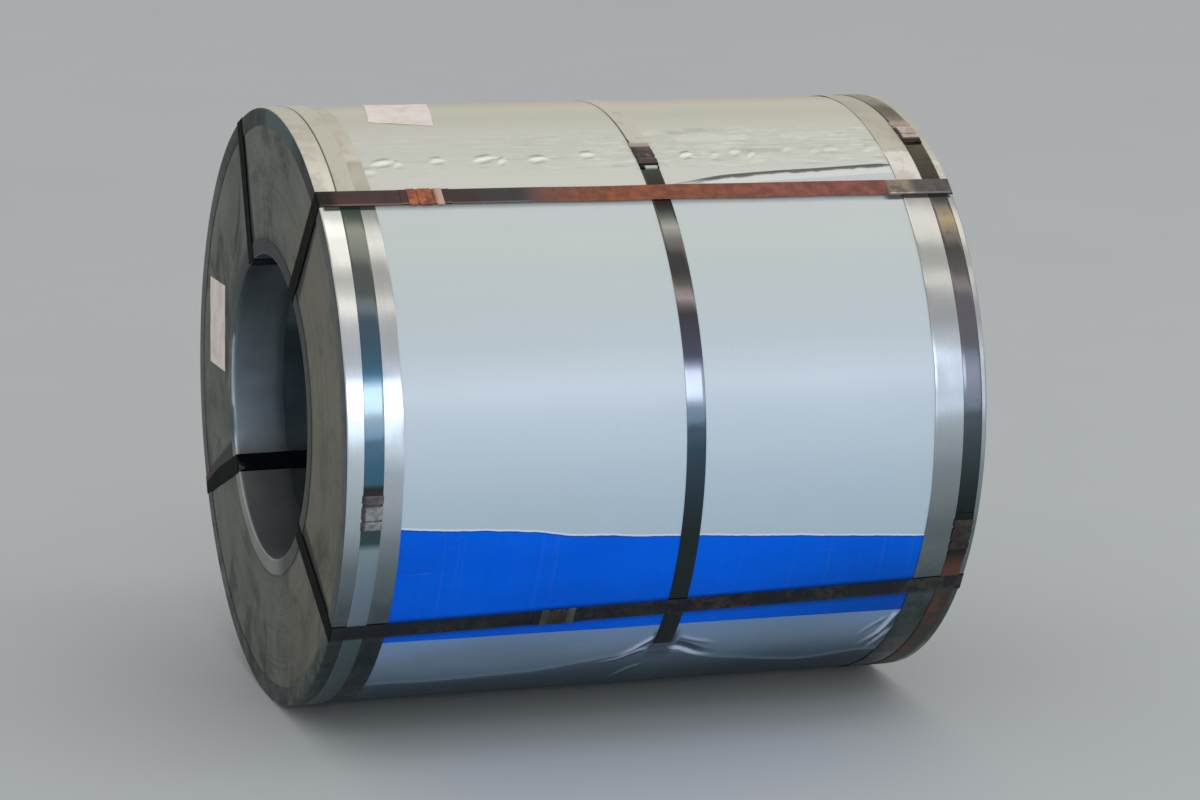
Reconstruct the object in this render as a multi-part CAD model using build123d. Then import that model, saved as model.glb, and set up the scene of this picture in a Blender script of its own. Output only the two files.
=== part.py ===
from build123d import *
import os
from math import atan2, cos, degrees, hypot, radians, sin

# Packaged steel coil lying on its side. Millimetres, +Z up.
# Origin: the middle of the bore axis. +X runs along the bore axis, from the end that carries the label to the other end.
# Angles around the axis start at the top (+Z) and grow towards the front (-Y): 90 is the front, 180 the floor side.

# ---- driving dimensions -------------------------------------------------
strip_width = 1067.0      # length of the wound strip along the axis (42 inch strip)
bore_diameter = 508.0     # inside diameter of the winding (20 inch mandrel)
coil_radius = 491.0       # outside radius of the winding

liner_t = 1.0             # sheet sleeve inside the bore
wrap_t = 1.0              # outer sheet wrapped round the winding
disc_t = 1.5              # cover disc on each end
ring_t = 1.0              # sheet thickness of the L-section edge rings
ring_leg = 90.0           # leg of an edge ring along the axis, outside and in the bore
outer_ring_end_leg = 30.0 # leg of an outer ring on the end face
inner_ring_end_leg = 26.0 # leg of an inner ring on the end face
ring_corner = 2.5         # outside radius of the rings' rolled corner

strap_w = 32.0            # steel strap width
strap_t = 0.9             # steel strap thickness
eye_corner = 3.3          # outside bend radius of the straps that go through the bore

# Straps round the body, each in a slightly tilted plane: (mean X of its middle, swing along X at the top, swing at the front)
body_straps = {"left": (-493.0, 7.5, 0.0), "middle": (34.9, -6.6, 0.0), "right": (503.7, 0.0, 8.0)}
# Straps through the bore, pulled on by hand and so a little askew:
# (outside at the left end, outside at the right end, in the bore at the left end, in the bore at the right end), degrees
eye_straps = {
    "top_front": (36.4, 37.6, 32.5, 34.0),
    "bottom_front": (123.9, 120.3, 129.0, 126.0),
    "bottom_rear": (241.0, 243.0, 234.8, 237.8),
    "top_rear": (334.0, 332.0, 330.5, 329.5),
}

seal_len = 57.0           # crimped seal, along the strap
seal_t = 0.9              # seal sheet
seal_gap = 0.2            # side clearance between the strap edge and the seal flange
tail_len = 82.0           # length over which the two strap ends lie on each other at a seal

body_seals = {            # name: (strap, angle)
    "body_seal_left": ("left", 97.0),
    "body_seal_middle": ("middle", 25.9),
    "body_seal_right_upper": ("right", 20.2),
    "body_seal_right_lower": ("right", 108.5),
}
eye_seals = {             # name: (strap, position along X)
    "eye_seal_top_front": ("top_front", -361.0),
    "eye_seal_bottom_front": ("bottom_front", -164.0),
    "eye_seal_bottom_rear": ("bottom_rear", -205.0),
    "eye_seal_top_rear": ("top_rear", -318.0),
}

label_t = 0.3             # paper label thickness
end_label = (108.0, 150.0, 362.0, 66.0)        # width (Y), height (Z), centre Y, centre Z
top_label = (105.0, 172.0, -329.0, 2.0, -12.0)  # width, length round the body, centre X, angle, twist in its own plane

# ---- derived stations ---------------------------------------------------
half = strip_width / 2
bore_r = bore_diameter / 2
liner_r = bore_r - liner_t            # sleeve inside radius
wrap_r = coil_radius + wrap_t         # wrap outside radius
disc_x = half + disc_t                # outer face of a cover disc
ring_r = wrap_r + ring_t              # outside radius of the outer rings
eye_r = liner_r - ring_t              # clear radius inside the inner rings
ring_x = disc_x + ring_t              # outer face of the ring legs on the end
strap_r = ring_r + strap_t            # top of a body strap that lies on a ring


def ring_solid(x0, x1, r0, r1):
    """Plain turned ring about the X axis."""
    with BuildPart() as p:
        with BuildSketch(Plane.XZ):
            with Locations(((x0 + x1) / 2, (r0 + r1) / 2)):
                Rectangle(x1 - x0, r1 - r0)
        revolve(axis=Axis.X)
    return p.part


def turned(points, corner, radius):
    """Turned solid about the X axis from a polygon of (x, r) points, with one rounded corner."""
    with BuildPart() as p:
        with BuildSketch(Plane.XZ):
            with BuildLine():
                Polyline(*points, close=True)
            make_face()
            fillet([v for v in vertices() if abs(v.X - corner[0]) < 1e-4 and abs(v.Y - corner[1]) < 1e-4], radius)
        revolve(axis=Axis.X)
    return p.part


def at_angle(shape, deg):
    """Turns a shape built at the top (+Z) to an angle, towards the front for positive angles."""
    return shape.rotate(Axis.X, deg)


def slab(width, r0, r1, x_len, x_mid=0.0):
    """Box over the top of the axis: width across Y, from r0 to r1 in Z."""
    return Pos(x_mid, 0, (r0 + r1) / 2) * Box(x_len, width, r1 - r0)


def rounded_annulus(x_out, r_in, r_out, corner):
    """Turned solid whose section is a rectangle with rounded corners."""
    with BuildPart() as p:
        with BuildSketch(Plane.XZ):
            with Locations((0, (r_in + r_out) / 2)):
                RectangleRounded(2 * x_out, r_out - r_in, corner)
        revolve(axis=Axis.X)
    return p.part


def tilted_slab(name, width):
    """Endless plate across the axis that holds a body strap: its middle plane follows the strap's tilt."""
    x, top_swing, front_swing = body_straps[name]
    n = Vector(1, front_swing / ring_r, -top_swing / ring_r)
    return Plane(origin=(x, 0, 0), z_dir=n) * Box(1400, 1400, width)


def body_x(name, deg):
    """X of a body strap's middle at an angle."""
    x, top_swing, front_swing = body_straps[name]
    return x + top_swing * cos(radians(deg)) + front_swing * sin(radians(deg))


def on_circle(r, deg):
    """(y, z) of a point at radius r and an angle."""
    return (-r * sin(radians(deg)), r * cos(radians(deg)))


def run_slab(r0, r1, left_deg, right_deg, r_mid):
    """Box that holds one run along the axis: it lies over the line from left_deg at one end to right_deg at the other."""
    mean = (left_deg + right_deg) / 2
    side = -r_mid * sin(radians(right_deg - mean))
    skew = degrees(atan2(side, ring_x))
    box = Rot(0, 0, skew) * Pos(0, 0, (r0 + r1) / 2) * Box(2 * ring_x + 40, strap_w, r1 - r0)
    return box.rotate(Axis.X, mean)


def end_slab(side, outer_deg, bore_deg):
    """Box that holds the run over one end face, from the outside edge to the bore edge."""
    y0, z0 = on_circle(strap_r + strap_t / 2, outer_deg)
    y1, z1 = on_circle(eye_r - strap_t / 2, bore_deg)
    length = hypot(y1 - y0, z1 - z0)
    turn = degrees(atan2(-(y0 - y1), z0 - z1))
    box = Box(12, strap_w, length + 2).rotate(Axis.X, turn)
    return Pos(side * (ring_x + strap_t - eye_corner + 6), (y0 + y1) / 2, (z0 + z1) / 2) * box


def eye_angle(name, x):
    """Angle of a strap's outside run at a station along the axis."""
    left, right = eye_straps[name][:2]
    return left + (right - left) * (x + ring_x) / (2 * ring_x)


def eye_skew(name):
    """Angle of a strap's outside run to the axis, seen from outside."""
    left, right = eye_straps[name][:2]
    return degrees(atan2(-strap_r * sin(radians((right - left) / 2)), ring_x))


def body_band(name, r0, r1, width):
    """Band round the body between two radii, in the tilted plane of a body strap."""
    x = body_straps[name][0]
    return ring_solid(x - 60, x + 60, r0, r1) & tilted_slab(name, width)


def doubled_arc(name, r_base, deg):
    """Second layer of strap where its two ends overlap, round the body."""
    return body_band(name, r_base, r_base + strap_t, strap_w) & at_angle(slab(tail_len, r_base - 20, r_base + 20, 140, body_straps[name][0]), deg)


def seal_round(name, r_base, deg):
    """Crimped seal over a doubled body strap: a curved channel, open towards the coil."""
    inner = strap_w / 2 + seal_gap
    outer = inner + seal_t
    top = r_base + 2 * strap_t
    body = body_band(name, r_base + 0.15, top + seal_t, 2 * outer) - body_band(name, r_base - 1, top, 2 * inner)
    return body & at_angle(slab(seal_len, r_base - 20, r_base + 20, 140, body_straps[name][0]), deg)


def place_along(shape, name, x_mid):
    """Puts a shape built at the top, at x_mid, on a strap's outside run."""
    turned_shape = Pos(x_mid, 0, 0) * Rot(0, 0, eye_skew(name)) * Pos(-x_mid, 0, 0) * shape
    return at_angle(turned_shape, eye_angle(name, x_mid))


def seal_along(r_base, x_mid, name):
    """Crimped seal over a doubled eye strap, which runs along X."""
    inner = strap_w / 2 + seal_gap
    outer = inner + seal_t
    top = r_base + 2 * strap_t
    shell = ring_solid(x_mid - seal_len / 2, x_mid + seal_len / 2, r_base + 0.15, top + seal_t) & slab(2 * outer, r_base - 20, r_base + 20, seal_len + 10, x_mid)
    core = ring_solid(x_mid - seal_len, x_mid + seal_len, r_base - 2, top) & slab(2 * inner, r_base - 20, r_base + 20, 2 * seal_len + 10, x_mid)
    return place_along(shell - core, name, x_mid)


def outer_edge_ring(side):
    """L-section ring over the outside edge. side is -1 for the label end, 1 for the other."""
    s = side
    pts = [(s * (ring_x - ring_leg), wrap_r), (s * disc_x, wrap_r), (s * disc_x, ring_r - outer_ring_end_leg),
           (s * ring_x, ring_r - outer_ring_end_leg), (s * ring_x, ring_r), (s * (ring_x - ring_leg), ring_r)]
    return turned(pts, (s * ring_x, ring_r), ring_corner)


def inner_edge_ring(side):
    """L-section ring over the bore edge."""
    s = side
    pts = [(s * (ring_x - ring_leg), eye_r), (s * ring_x, eye_r), (s * ring_x, eye_r + inner_ring_end_leg),
           (s * disc_x, eye_r + inner_ring_end_leg), (s * disc_x, liner_r), (s * (ring_x - ring_leg), liner_r)]
    return turned(pts, (s * ring_x, eye_r), ring_corner)


parts = {}

# the wound strip: one turned solid with its bore
parts["coil"] = ring_solid(-half, half, bore_r, coil_radius)

# packaging sheets
parts["bore_liner"] = ring_solid(-half, half, liner_r, bore_r)
parts["outer_wrap"] = ring_solid(-half, half, coil_radius, wrap_r)
parts["end_disc_left"] = ring_solid(-disc_x, -half, liner_r, wrap_r)
parts["end_disc_right"] = ring_solid(half, disc_x, liner_r, wrap_r)
parts["outer_ring_left"] = outer_edge_ring(-1)
parts["outer_ring_right"] = outer_edge_ring(1)
parts["inner_ring_left"] = inner_edge_ring(-1)
parts["inner_ring_right"] = inner_edge_ring(1)

# straps round the body: the outer two lie on the rings, the middle one on the wrap
for name in body_straps:
    base = wrap_r if name == "middle" else ring_r
    strap = body_band(name, base, base + strap_t, strap_w)
    for seal, (owner, deg) in body_seals.items():
        if owner == name:
            strap = strap + doubled_arc(name, base + strap_t, deg)
            parts[seal] = seal_round(name, base, deg)
    parts["body_strap_" + name] = strap

# straps through the bore: closed loops over both ends
shell = rounded_annulus(ring_x + strap_t, eye_r - strap_t, strap_r + strap_t, eye_corner)
shell = shell - rounded_annulus(ring_x, eye_r, strap_r, eye_corner - strap_t)
for name, (out_left, out_right, bore_left, bore_right) in eye_straps.items():
    runs = run_slab(strap_r - 3, strap_r + 20, out_left, out_right, strap_r)
    runs += run_slab(eye_r - 20, eye_r + 2.2, bore_left, bore_right, eye_r)
    runs += end_slab(-1, out_left, bore_left)
    runs += end_slab(1, out_right, bore_right)
    strap = shell & runs
    for seal, (owner, x) in eye_seals.items():
        if owner == name:
            top = strap_r + strap_t
            layer = ring_solid(x - tail_len / 2, x + tail_len / 2, top, top + strap_t) & slab(strap_w, 0, top + 50, tail_len + 10, x)
            strap = strap + place_along(layer, name, x)
            parts[seal] = seal_along(strap_r, x, name)
    parts["eye_strap_" + name] = strap

# blank paper labels
w, h, y, z = end_label
parts["label_end"] = Pos(-disc_x - label_t / 2, y, z) * Box(label_t, w, h)
w, h, x, deg, twist = top_label
patch = ring_solid(x - 200, x + 200, wrap_r, wrap_r + label_t) & (Pos(x, 0, wrap_r) * Rot(0, 0, twist) * Box(w, h, 60))
parts["label_top"] = at_angle(patch, deg)

os.makedirs("parts", exist_ok=True)
for name, shape in parts.items():
    export_step(shape, "parts/" + name + ".step")
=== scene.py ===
import math

import bmesh
import bpy
import numpy as np
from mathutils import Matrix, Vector


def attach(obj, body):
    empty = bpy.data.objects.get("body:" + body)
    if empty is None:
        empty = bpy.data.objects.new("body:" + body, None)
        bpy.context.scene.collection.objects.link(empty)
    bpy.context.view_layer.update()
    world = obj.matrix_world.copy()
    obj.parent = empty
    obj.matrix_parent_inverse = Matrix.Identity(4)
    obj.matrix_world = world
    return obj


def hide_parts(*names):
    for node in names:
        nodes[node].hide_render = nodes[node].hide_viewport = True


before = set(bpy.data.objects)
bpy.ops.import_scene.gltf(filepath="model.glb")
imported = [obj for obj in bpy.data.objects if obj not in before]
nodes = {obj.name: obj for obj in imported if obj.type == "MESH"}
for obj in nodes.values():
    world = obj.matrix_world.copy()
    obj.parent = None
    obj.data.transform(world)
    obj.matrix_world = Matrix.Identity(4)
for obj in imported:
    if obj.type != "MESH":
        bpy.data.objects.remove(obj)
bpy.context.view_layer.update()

# ---------------------------------------------------------------- sizes, millimetres (as the CAD has them)
HALF = 533.5
COIL_R = 491.0
WRAP_R = 492.0
RING_R = 493.0
STRAP_R = 493.9
LINER_R = 253.0
EYE_R = 252.0
DISC_X = 535.0
RING_X = 536.0
LEG = 90.0
STRAP_W = 32.0
STRAP_T = 0.9
BODY = {"left": (-493.0, 7.5, 0.0), "middle": (34.9, -6.6, 0.0), "right": (503.7, 0.0, 8.0)}  # mean x, swing at the top, at the front
BODY_SEALS = {
    "body_seal_left": ("left", 97.0),
    "body_seal_middle": ("middle", 25.9),
    "body_seal_right_upper": ("right", 20.2),
    "body_seal_right_lower": ("right", 108.5),
}
EYE = {
    "top_front": (36.4, 37.6, 32.5, 34.0),
    "bottom_front": (123.9, 120.3, 129.0, 126.0),
    "bottom_rear": (241.0, 243.0, 234.8, 237.8),
    "top_rear": (334.0, 332.0, 330.5, 329.5),
}
EYE_SEALS = {
    "eye_seal_top_front": ("top_front", -361.0),
    "eye_seal_bottom_front": ("bottom_front", -164.0),
    "eye_seal_bottom_rear": ("bottom_rear", -205.0),
    "eye_seal_top_rear": ("top_rear", -318.0),
}
FLOOR_Z = -0.4940


def body_x(name, deg):
    """Axial position of a body strap's middle at an angle."""
    x, top, front = BODY[name]
    a = np.radians(deg)
    return x + top * np.cos(a) + front * np.sin(a)


# ---------------------------------------------------------------- mesh helpers
def polar(x, r, deg):
    """Row-frame points in metres from millimetres and degrees from the top towards the front."""
    a = np.radians(deg)
    x, r, a = np.broadcast_arrays(np.asarray(x, float), np.asarray(r, float), a)
    return np.stack([x, -r * np.sin(a), r * np.cos(a)], -1) * 0.001


def smooth(a, b, x):
    t = np.clip((np.asarray(x, float) - a) / (b - a), 0, 1)
    return t * t * (3 - 2 * t)


def bump(x, mid, half):
    """1 at mid, falling smoothly to 0 at half either side."""
    return smooth(half, 0, np.abs(np.asarray(x, float) - mid))


class Wave:
    """Repeatable smooth noise: a sum of sines with seeded phases, about -1 to 1."""

    def __init__(self, seed, count=9, low=1.0, high=4.0):
        g = np.random.default_rng(seed)
        self.k = g.uniform(low, high, (count, 2)) * g.choice([-1, 1], (count, 2))
        self.p = g.uniform(0, 2 * math.pi, count)
        self.a = g.uniform(0.5, 1.0, count)
        self.a /= np.sqrt((self.a**2).sum() / 2) * 1.6

    def __call__(self, u, v=0.0):
        u, v = np.broadcast_arrays(np.asarray(u, float), np.asarray(v, float))
        s = np.zeros(u.shape)
        for (ku, kv), p, a in zip(self.k, self.p, self.a):
            s += a * np.sin(ku * u + kv * v + p)
        return s


def ring_noise(seed, deg, count=7, low=2, high=14):
    """Noise that closes on itself round the axis."""
    g = np.random.default_rng(seed)
    s = np.zeros(np.shape(deg))
    tot = 0
    for _ in range(count):
        n, p, a = int(g.integers(low, high + 1)), g.uniform(0, 2 * math.pi), g.uniform(0.4, 1)
        s = s + a * np.sin(np.radians(deg) * n + p)
        tot += a * a / 2
    return s / (math.sqrt(tot) * 1.6)


def new_object(name, verts, faces, sharp=38.0):
    me = bpy.data.meshes.new(name)
    me.from_pydata(np.asarray(verts, float).reshape(-1, 3).tolist(), [], faces)
    bm = bmesh.new()
    bm.from_mesh(me)
    bmesh.ops.recalc_face_normals(bm, faces=bm.faces)
    for f in bm.faces:
        f.smooth = True
    lim = math.radians(sharp)
    for e in bm.edges:
        if len(e.link_faces) == 2 and e.calc_face_angle(0.0) > lim:
            e.smooth = False
    bm.to_mesh(me)
    bm.free()
    me.update()
    o = bpy.data.objects.new(name, me)
    bpy.context.scene.collection.objects.link(o)
    return o


def grid_faces(n, m, close_n, close_m, base=0):
    """Quads over an n by m grid of points."""
    out = []
    for i in range(n if close_n else n - 1):
        a, b = i * m + base, ((i + 1) % n) * m + base
        for j in range(m if close_m else m - 1):
            k = (j + 1) % m
            out.append((a + j, a + k, b + k, b + j))
    return out


def tube(stations, closed):
    """Mesh data of a closed section swept along stations, shape (n, m, 3). An open sweep is capped."""
    s = np.asarray(stations)
    n, m = s.shape[:2]
    faces = grid_faces(n, m, closed, True)
    if not closed:
        faces.append(tuple(range(m - 1, -1, -1)))
        faces.append(tuple(range((n - 1) * m, n * m)))
    return s.reshape(-1, 3), faces


def join_data(parts):
    """Joins several (verts, faces) into one."""
    vs, fs, base = [], [], 0
    for v, f in parts:
        vs.append(np.asarray(v).reshape(-1, 3))
        fs += [tuple(i + base for i in q) for q in f]
        base += len(vs[-1])
    return np.concatenate(vs), fs


def flat_section(w, t, r=0.28, across=6):
    """Points (side, height) of a strap's section, anticlockwise, with rounded edges: height 0 is the underside."""
    pts = []
    h = w / 2
    for cx, cy, a0 in ((h - r, r, -90), (h - r, t - r, 0), (-(h - r), t - r, 90), (-(h - r), r, 180)):
        for a in (0, 45, 90):
            q = math.radians(a0 + a)
            pts.append((cx + r * math.cos(q), cy + r * math.sin(q)))
        if a0 == 0:
            for k in range(1, across):
                pts.append((h - r - 2 * (h - r) * k / across, t))
    return np.array(pts)


# ---------------------------------------------------------------- node helpers
class Graph:
    """Short calls for building a material's nodes."""

    def __init__(self, name):
        self.mat = bpy.data.materials.new(name)
        self.mat.use_nodes = True
        self.nt = self.mat.node_tree
        self.bsdf = next(n for n in self.nt.nodes if n.type == "BSDF_PRINCIPLED")
        self.tc = self.nt.nodes.new("ShaderNodeTexCoord")
        self.pos = self.tc.outputs["Object"]

    def _in(self, sock, v):
        if hasattr(v, "is_output") or isinstance(v, bpy.types.NodeSocket):
            self.nt.links.new(v, sock)
        elif v is not None:
            if sock.type == "RGBA" and len(v) == 3:
                v = (*v, 1.0)
            sock.default_value = v

    def m(self, op, a, b=None, c=None, clamp=False):
        n = self.nt.nodes.new("ShaderNodeMath")
        n.operation = op
        n.use_clamp = clamp
        for s, v in zip(n.inputs, (a, b, c)):
            if v is not None:
                self._in(s, v)
        return n.outputs[0]

    def add(self, a, b):
        return self.m("ADD", a, b)

    def sub(self, a, b):
        return self.m("SUBTRACT", a, b)

    def mul(self, a, b):
        return self.m("MULTIPLY", a, b)

    def mx(self, a, b):
        return self.m("MAXIMUM", a, b)

    def mn(self, a, b):
        return self.m("MINIMUM", a, b)

    def step(self, v, lo, hi, a=0.0, b=1.0, kind="SMOOTHSTEP"):
        n = self.nt.nodes.new("ShaderNodeMapRange")
        n.interpolation_type = kind
        n.clamp = kind == "LINEAR"
        self._in(n.inputs["Value"], v)
        self._in(n.inputs["From Min"], lo)
        self._in(n.inputs["From Max"], hi)
        n.inputs["To Min"].default_value = a
        n.inputs["To Max"].default_value = b
        return n.outputs["Result"]

    def band(self, v, lo, hi, soft):
        """1 between lo and hi, falling to 0 over soft outside."""
        lo_out = self.sub(lo, soft) if not isinstance(lo, (int, float)) else lo - soft
        hi_out = self.add(hi, soft) if not isinstance(hi, (int, float)) else hi + soft
        return self.mul(self.step(v, lo_out, lo), self.step(v, hi_out, hi))

    def curve(self, v, pts):
        """Piecewise linear value through (position, value) points, flat outside them."""
        lo, hi = float(pts[0][0]), float(pts[-1][0])
        low, high = min(q[1] for q in pts), max(q[1] for q in pts)
        n = self.nt.nodes.new("ShaderNodeFloatCurve")
        n.mapping.extend = "HORIZONTAL"
        line = n.mapping.curves[0]
        spots = [((float(a) - lo) / (hi - lo), (float(b) - low) / (high - low)) for a, b in pts]
        line.points[0].location = spots[0]
        line.points[-1].location = spots[-1]
        for spot in spots[1:-1]:
            line.points.new(*spot)
        for point in line.points:
            point.handle_type = "VECTOR"
        n.mapping.update()
        self._in(n.inputs["Value"], self.mul(self.sub(v, lo), 1.0 / (hi - lo)))
        return self.add(self.mul(n.outputs[0], high - low), float(low))

    def ramp(self, v, pts):
        """Colour through (position, colour) points in order."""
        out = pts[0][1]
        for (p0, _), (p1, c1) in zip(pts, pts[1:]):
            out = self.mix(self.step(v, float(p0), float(p1), 0.0, 1.0, "LINEAR"), out, c1)
        return out

    def mix(self, fac, a, b, mode="MIX"):
        n = self.nt.nodes.new("ShaderNodeMix")
        n.data_type = "RGBA"
        n.blend_type = mode
        n.clamp_factor = True
        self._in(n.inputs[0], fac)
        self._in(n.inputs[6], a)
        self._in(n.inputs[7], b)
        return n.outputs[2]

    def mixf(self, fac, a, b):
        n = self.nt.nodes.new("ShaderNodeMix")
        n.data_type = "FLOAT"
        self._in(n.inputs[0], fac)
        self._in(n.inputs[2], a)
        self._in(n.inputs[3], b)
        return n.outputs[0]

    def vec(self, x, y, z):
        n = self.nt.nodes.new("ShaderNodeCombineXYZ")
        for s, v in zip(n.inputs, (x, y, z)):
            self._in(s, v)
        return n.outputs[0]

    def xyz(self, v=None):
        n = self.nt.nodes.new("ShaderNodeSeparateXYZ")
        self._in(n.inputs[0], v if v is not None else self.pos)
        return n.outputs

    def scale(self, v, s):
        n = self.nt.nodes.new("ShaderNodeVectorMath")
        n.operation = "MULTIPLY"
        self._in(n.inputs[0], v)
        n.inputs[1].default_value = s
        return n.outputs[0]

    def noise(self, v, scale, detail=3.0, rough=0.55, dist=0.0):
        n = self.nt.nodes.new("ShaderNodeTexNoise")
        self._in(n.inputs["Vector"], v)
        n.inputs["Scale"].default_value = scale
        n.inputs["Detail"].default_value = detail
        n.inputs["Roughness"].default_value = rough
        n.inputs["Distortion"].default_value = dist
        return n.outputs["Fac"]

    def cells(self, v, scale, rand=1.0):
        n = self.nt.nodes.new("ShaderNodeTexVoronoi")
        self._in(n.inputs["Vector"], v)
        n.inputs["Scale"].default_value = scale
        n.inputs["Randomness"].default_value = rand
        return n.outputs

    def bump(self, height, strength, distance, normal=None):
        n = self.nt.nodes.new("ShaderNodeBump")
        n.inputs["Strength"].default_value = strength
        n.inputs["Distance"].default_value = distance
        self._in(n.inputs["Height"], height)
        if normal is not None:
            self._in(n.inputs["Normal"], normal)
        return n.outputs[0]

    def polar(self):
        """X in millimetres, angle from the top towards the front in degrees (-180 to 180), radius in millimetres."""
        x, y, z = self.xyz()
        ang = self.mul(self.m("ARCTAN2", self.mul(y, -1.0), z), 57.29578)
        rad = self.mul(self.m("SQRT", self.add(self.mul(y, y), self.mul(z, z))), 1000.0)
        return self.mul(x, 1000.0), ang, rad

    def unrolled(self, x, ang, r=492.0):
        """The object's own coordinates in metres, unchanged."""
        xx, y, z = self.xyz()
        return self.vec(xx, y, z)

    def set(self, **kw):
        names = {
            "color": "Base Color", "metal": "Metallic", "rough": "Roughness", "normal": "Normal",
            "spec": "Specular IOR Level", "coat": "Coat Weight", "coat_rough": "Coat Roughness",
            "aniso": "Anisotropic", "ior": "IOR", "sheen": "Sheen Weight", "tint": "Specular Tint",
        }
        for k, v in kw.items():
            self._in(self.bsdf.inputs[names[k]], v)
        return self.mat


def srgb(r, g, b):
    """Linear colour from 0-255 display values."""
    f = lambda c: (c / 255) / 12.92 if c / 255 <= 0.04045 else ((c / 255 + 0.055) / 1.055) ** 2.4
    return (f(r), f(g), f(b))


# ---------------------------------------------------------------- geometry
def eye_angle(name, x):
    left, right = EYE[name][:2]
    return left + (right - left) * (np.asarray(x, float) + RING_X) / (2 * RING_X)


def lap_edge(x):
    """Angle of the sheet's free edge along the axis: under the strap at first, then coming out above it."""
    x = np.asarray(x, float)
    hidden = eye_angle("top_front", x)
    pts_x = [40.0, 92.0, 120.0, 150.0, 195.0, 246.0, 308.0, 380.0, 427.0, 534.0]
    pts_a = [35.3, 34.2, 33.6, 32.95, 32.5, 32.05, 31.75, 31.25, 30.95, 30.8]
    shown = np.interp(x, pts_x, pts_a)
    return np.where(x < 40, hidden, shown)


# position along the axis, angle, strength, half length of the short pinches
DENTS = [(-440, 29.9, 0.45, 18), (-409, 27.3, 1.0, 27), (-388, 28.0, 0.8, 10), (-320, 27.0, 0.8, 17), (-241, 26.8, 1.0, 25), (-213, 27.6, 0.8, 10), (-152, 27.3, 1.0, 22), (-66, 26.3, 0.95, 17),
         (101, 27.2, 1.0, 15), (150, 27.6, 0.35, 14), (187, 26.6, 0.7, 13), (213, 27.6, 0.6, 10), (279, 26.2, 0.3, 12), (326, 27.0, 0.25, 13),
         (357, 26.4, 0.3, 16), (424, 26.8, 0.3, 17)]
# from (x, angle) to (x, angle), height, half width, side of the trough
CREASES = ((20, 131.6, -30, 137.0, 4.4, 6.0, 1), (14, 135.6, -62, 140.2, 2.6, 5.0, 1), (18, 142.2, -18, 151.0, 1.2, 5.0, 1),
           (54, 135.4, 138, 139.8, 4.6, 6.5, 1), (70, 131.6, 134, 135.2, 1.9, 5.0, -1),
           (441, 128.6, 402, 140.6, 3.8, 6.5, 1), (438, 134.4, 424, 143.0, 2.4, 5.0, 1), (420, 129.6, 388, 136.0, 1.8, 5.0, 1))
FOLD = ((-430, 144.6), (-280, 143.2), (-174, 142.4), (-34, 137.6), (41, 136.4), (149, 141.5), (299, 145.8), (402, 143.8))


def crease_frame(x0, a0, x1, a1):
    """Start, unit direction and length of a crease, in millimetres along the axis and up round the body."""
    dx, ds = x1 - x0, -(a1 - a0) * 8.6
    length = math.hypot(dx, ds)
    return dx / length, ds / length, length


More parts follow.
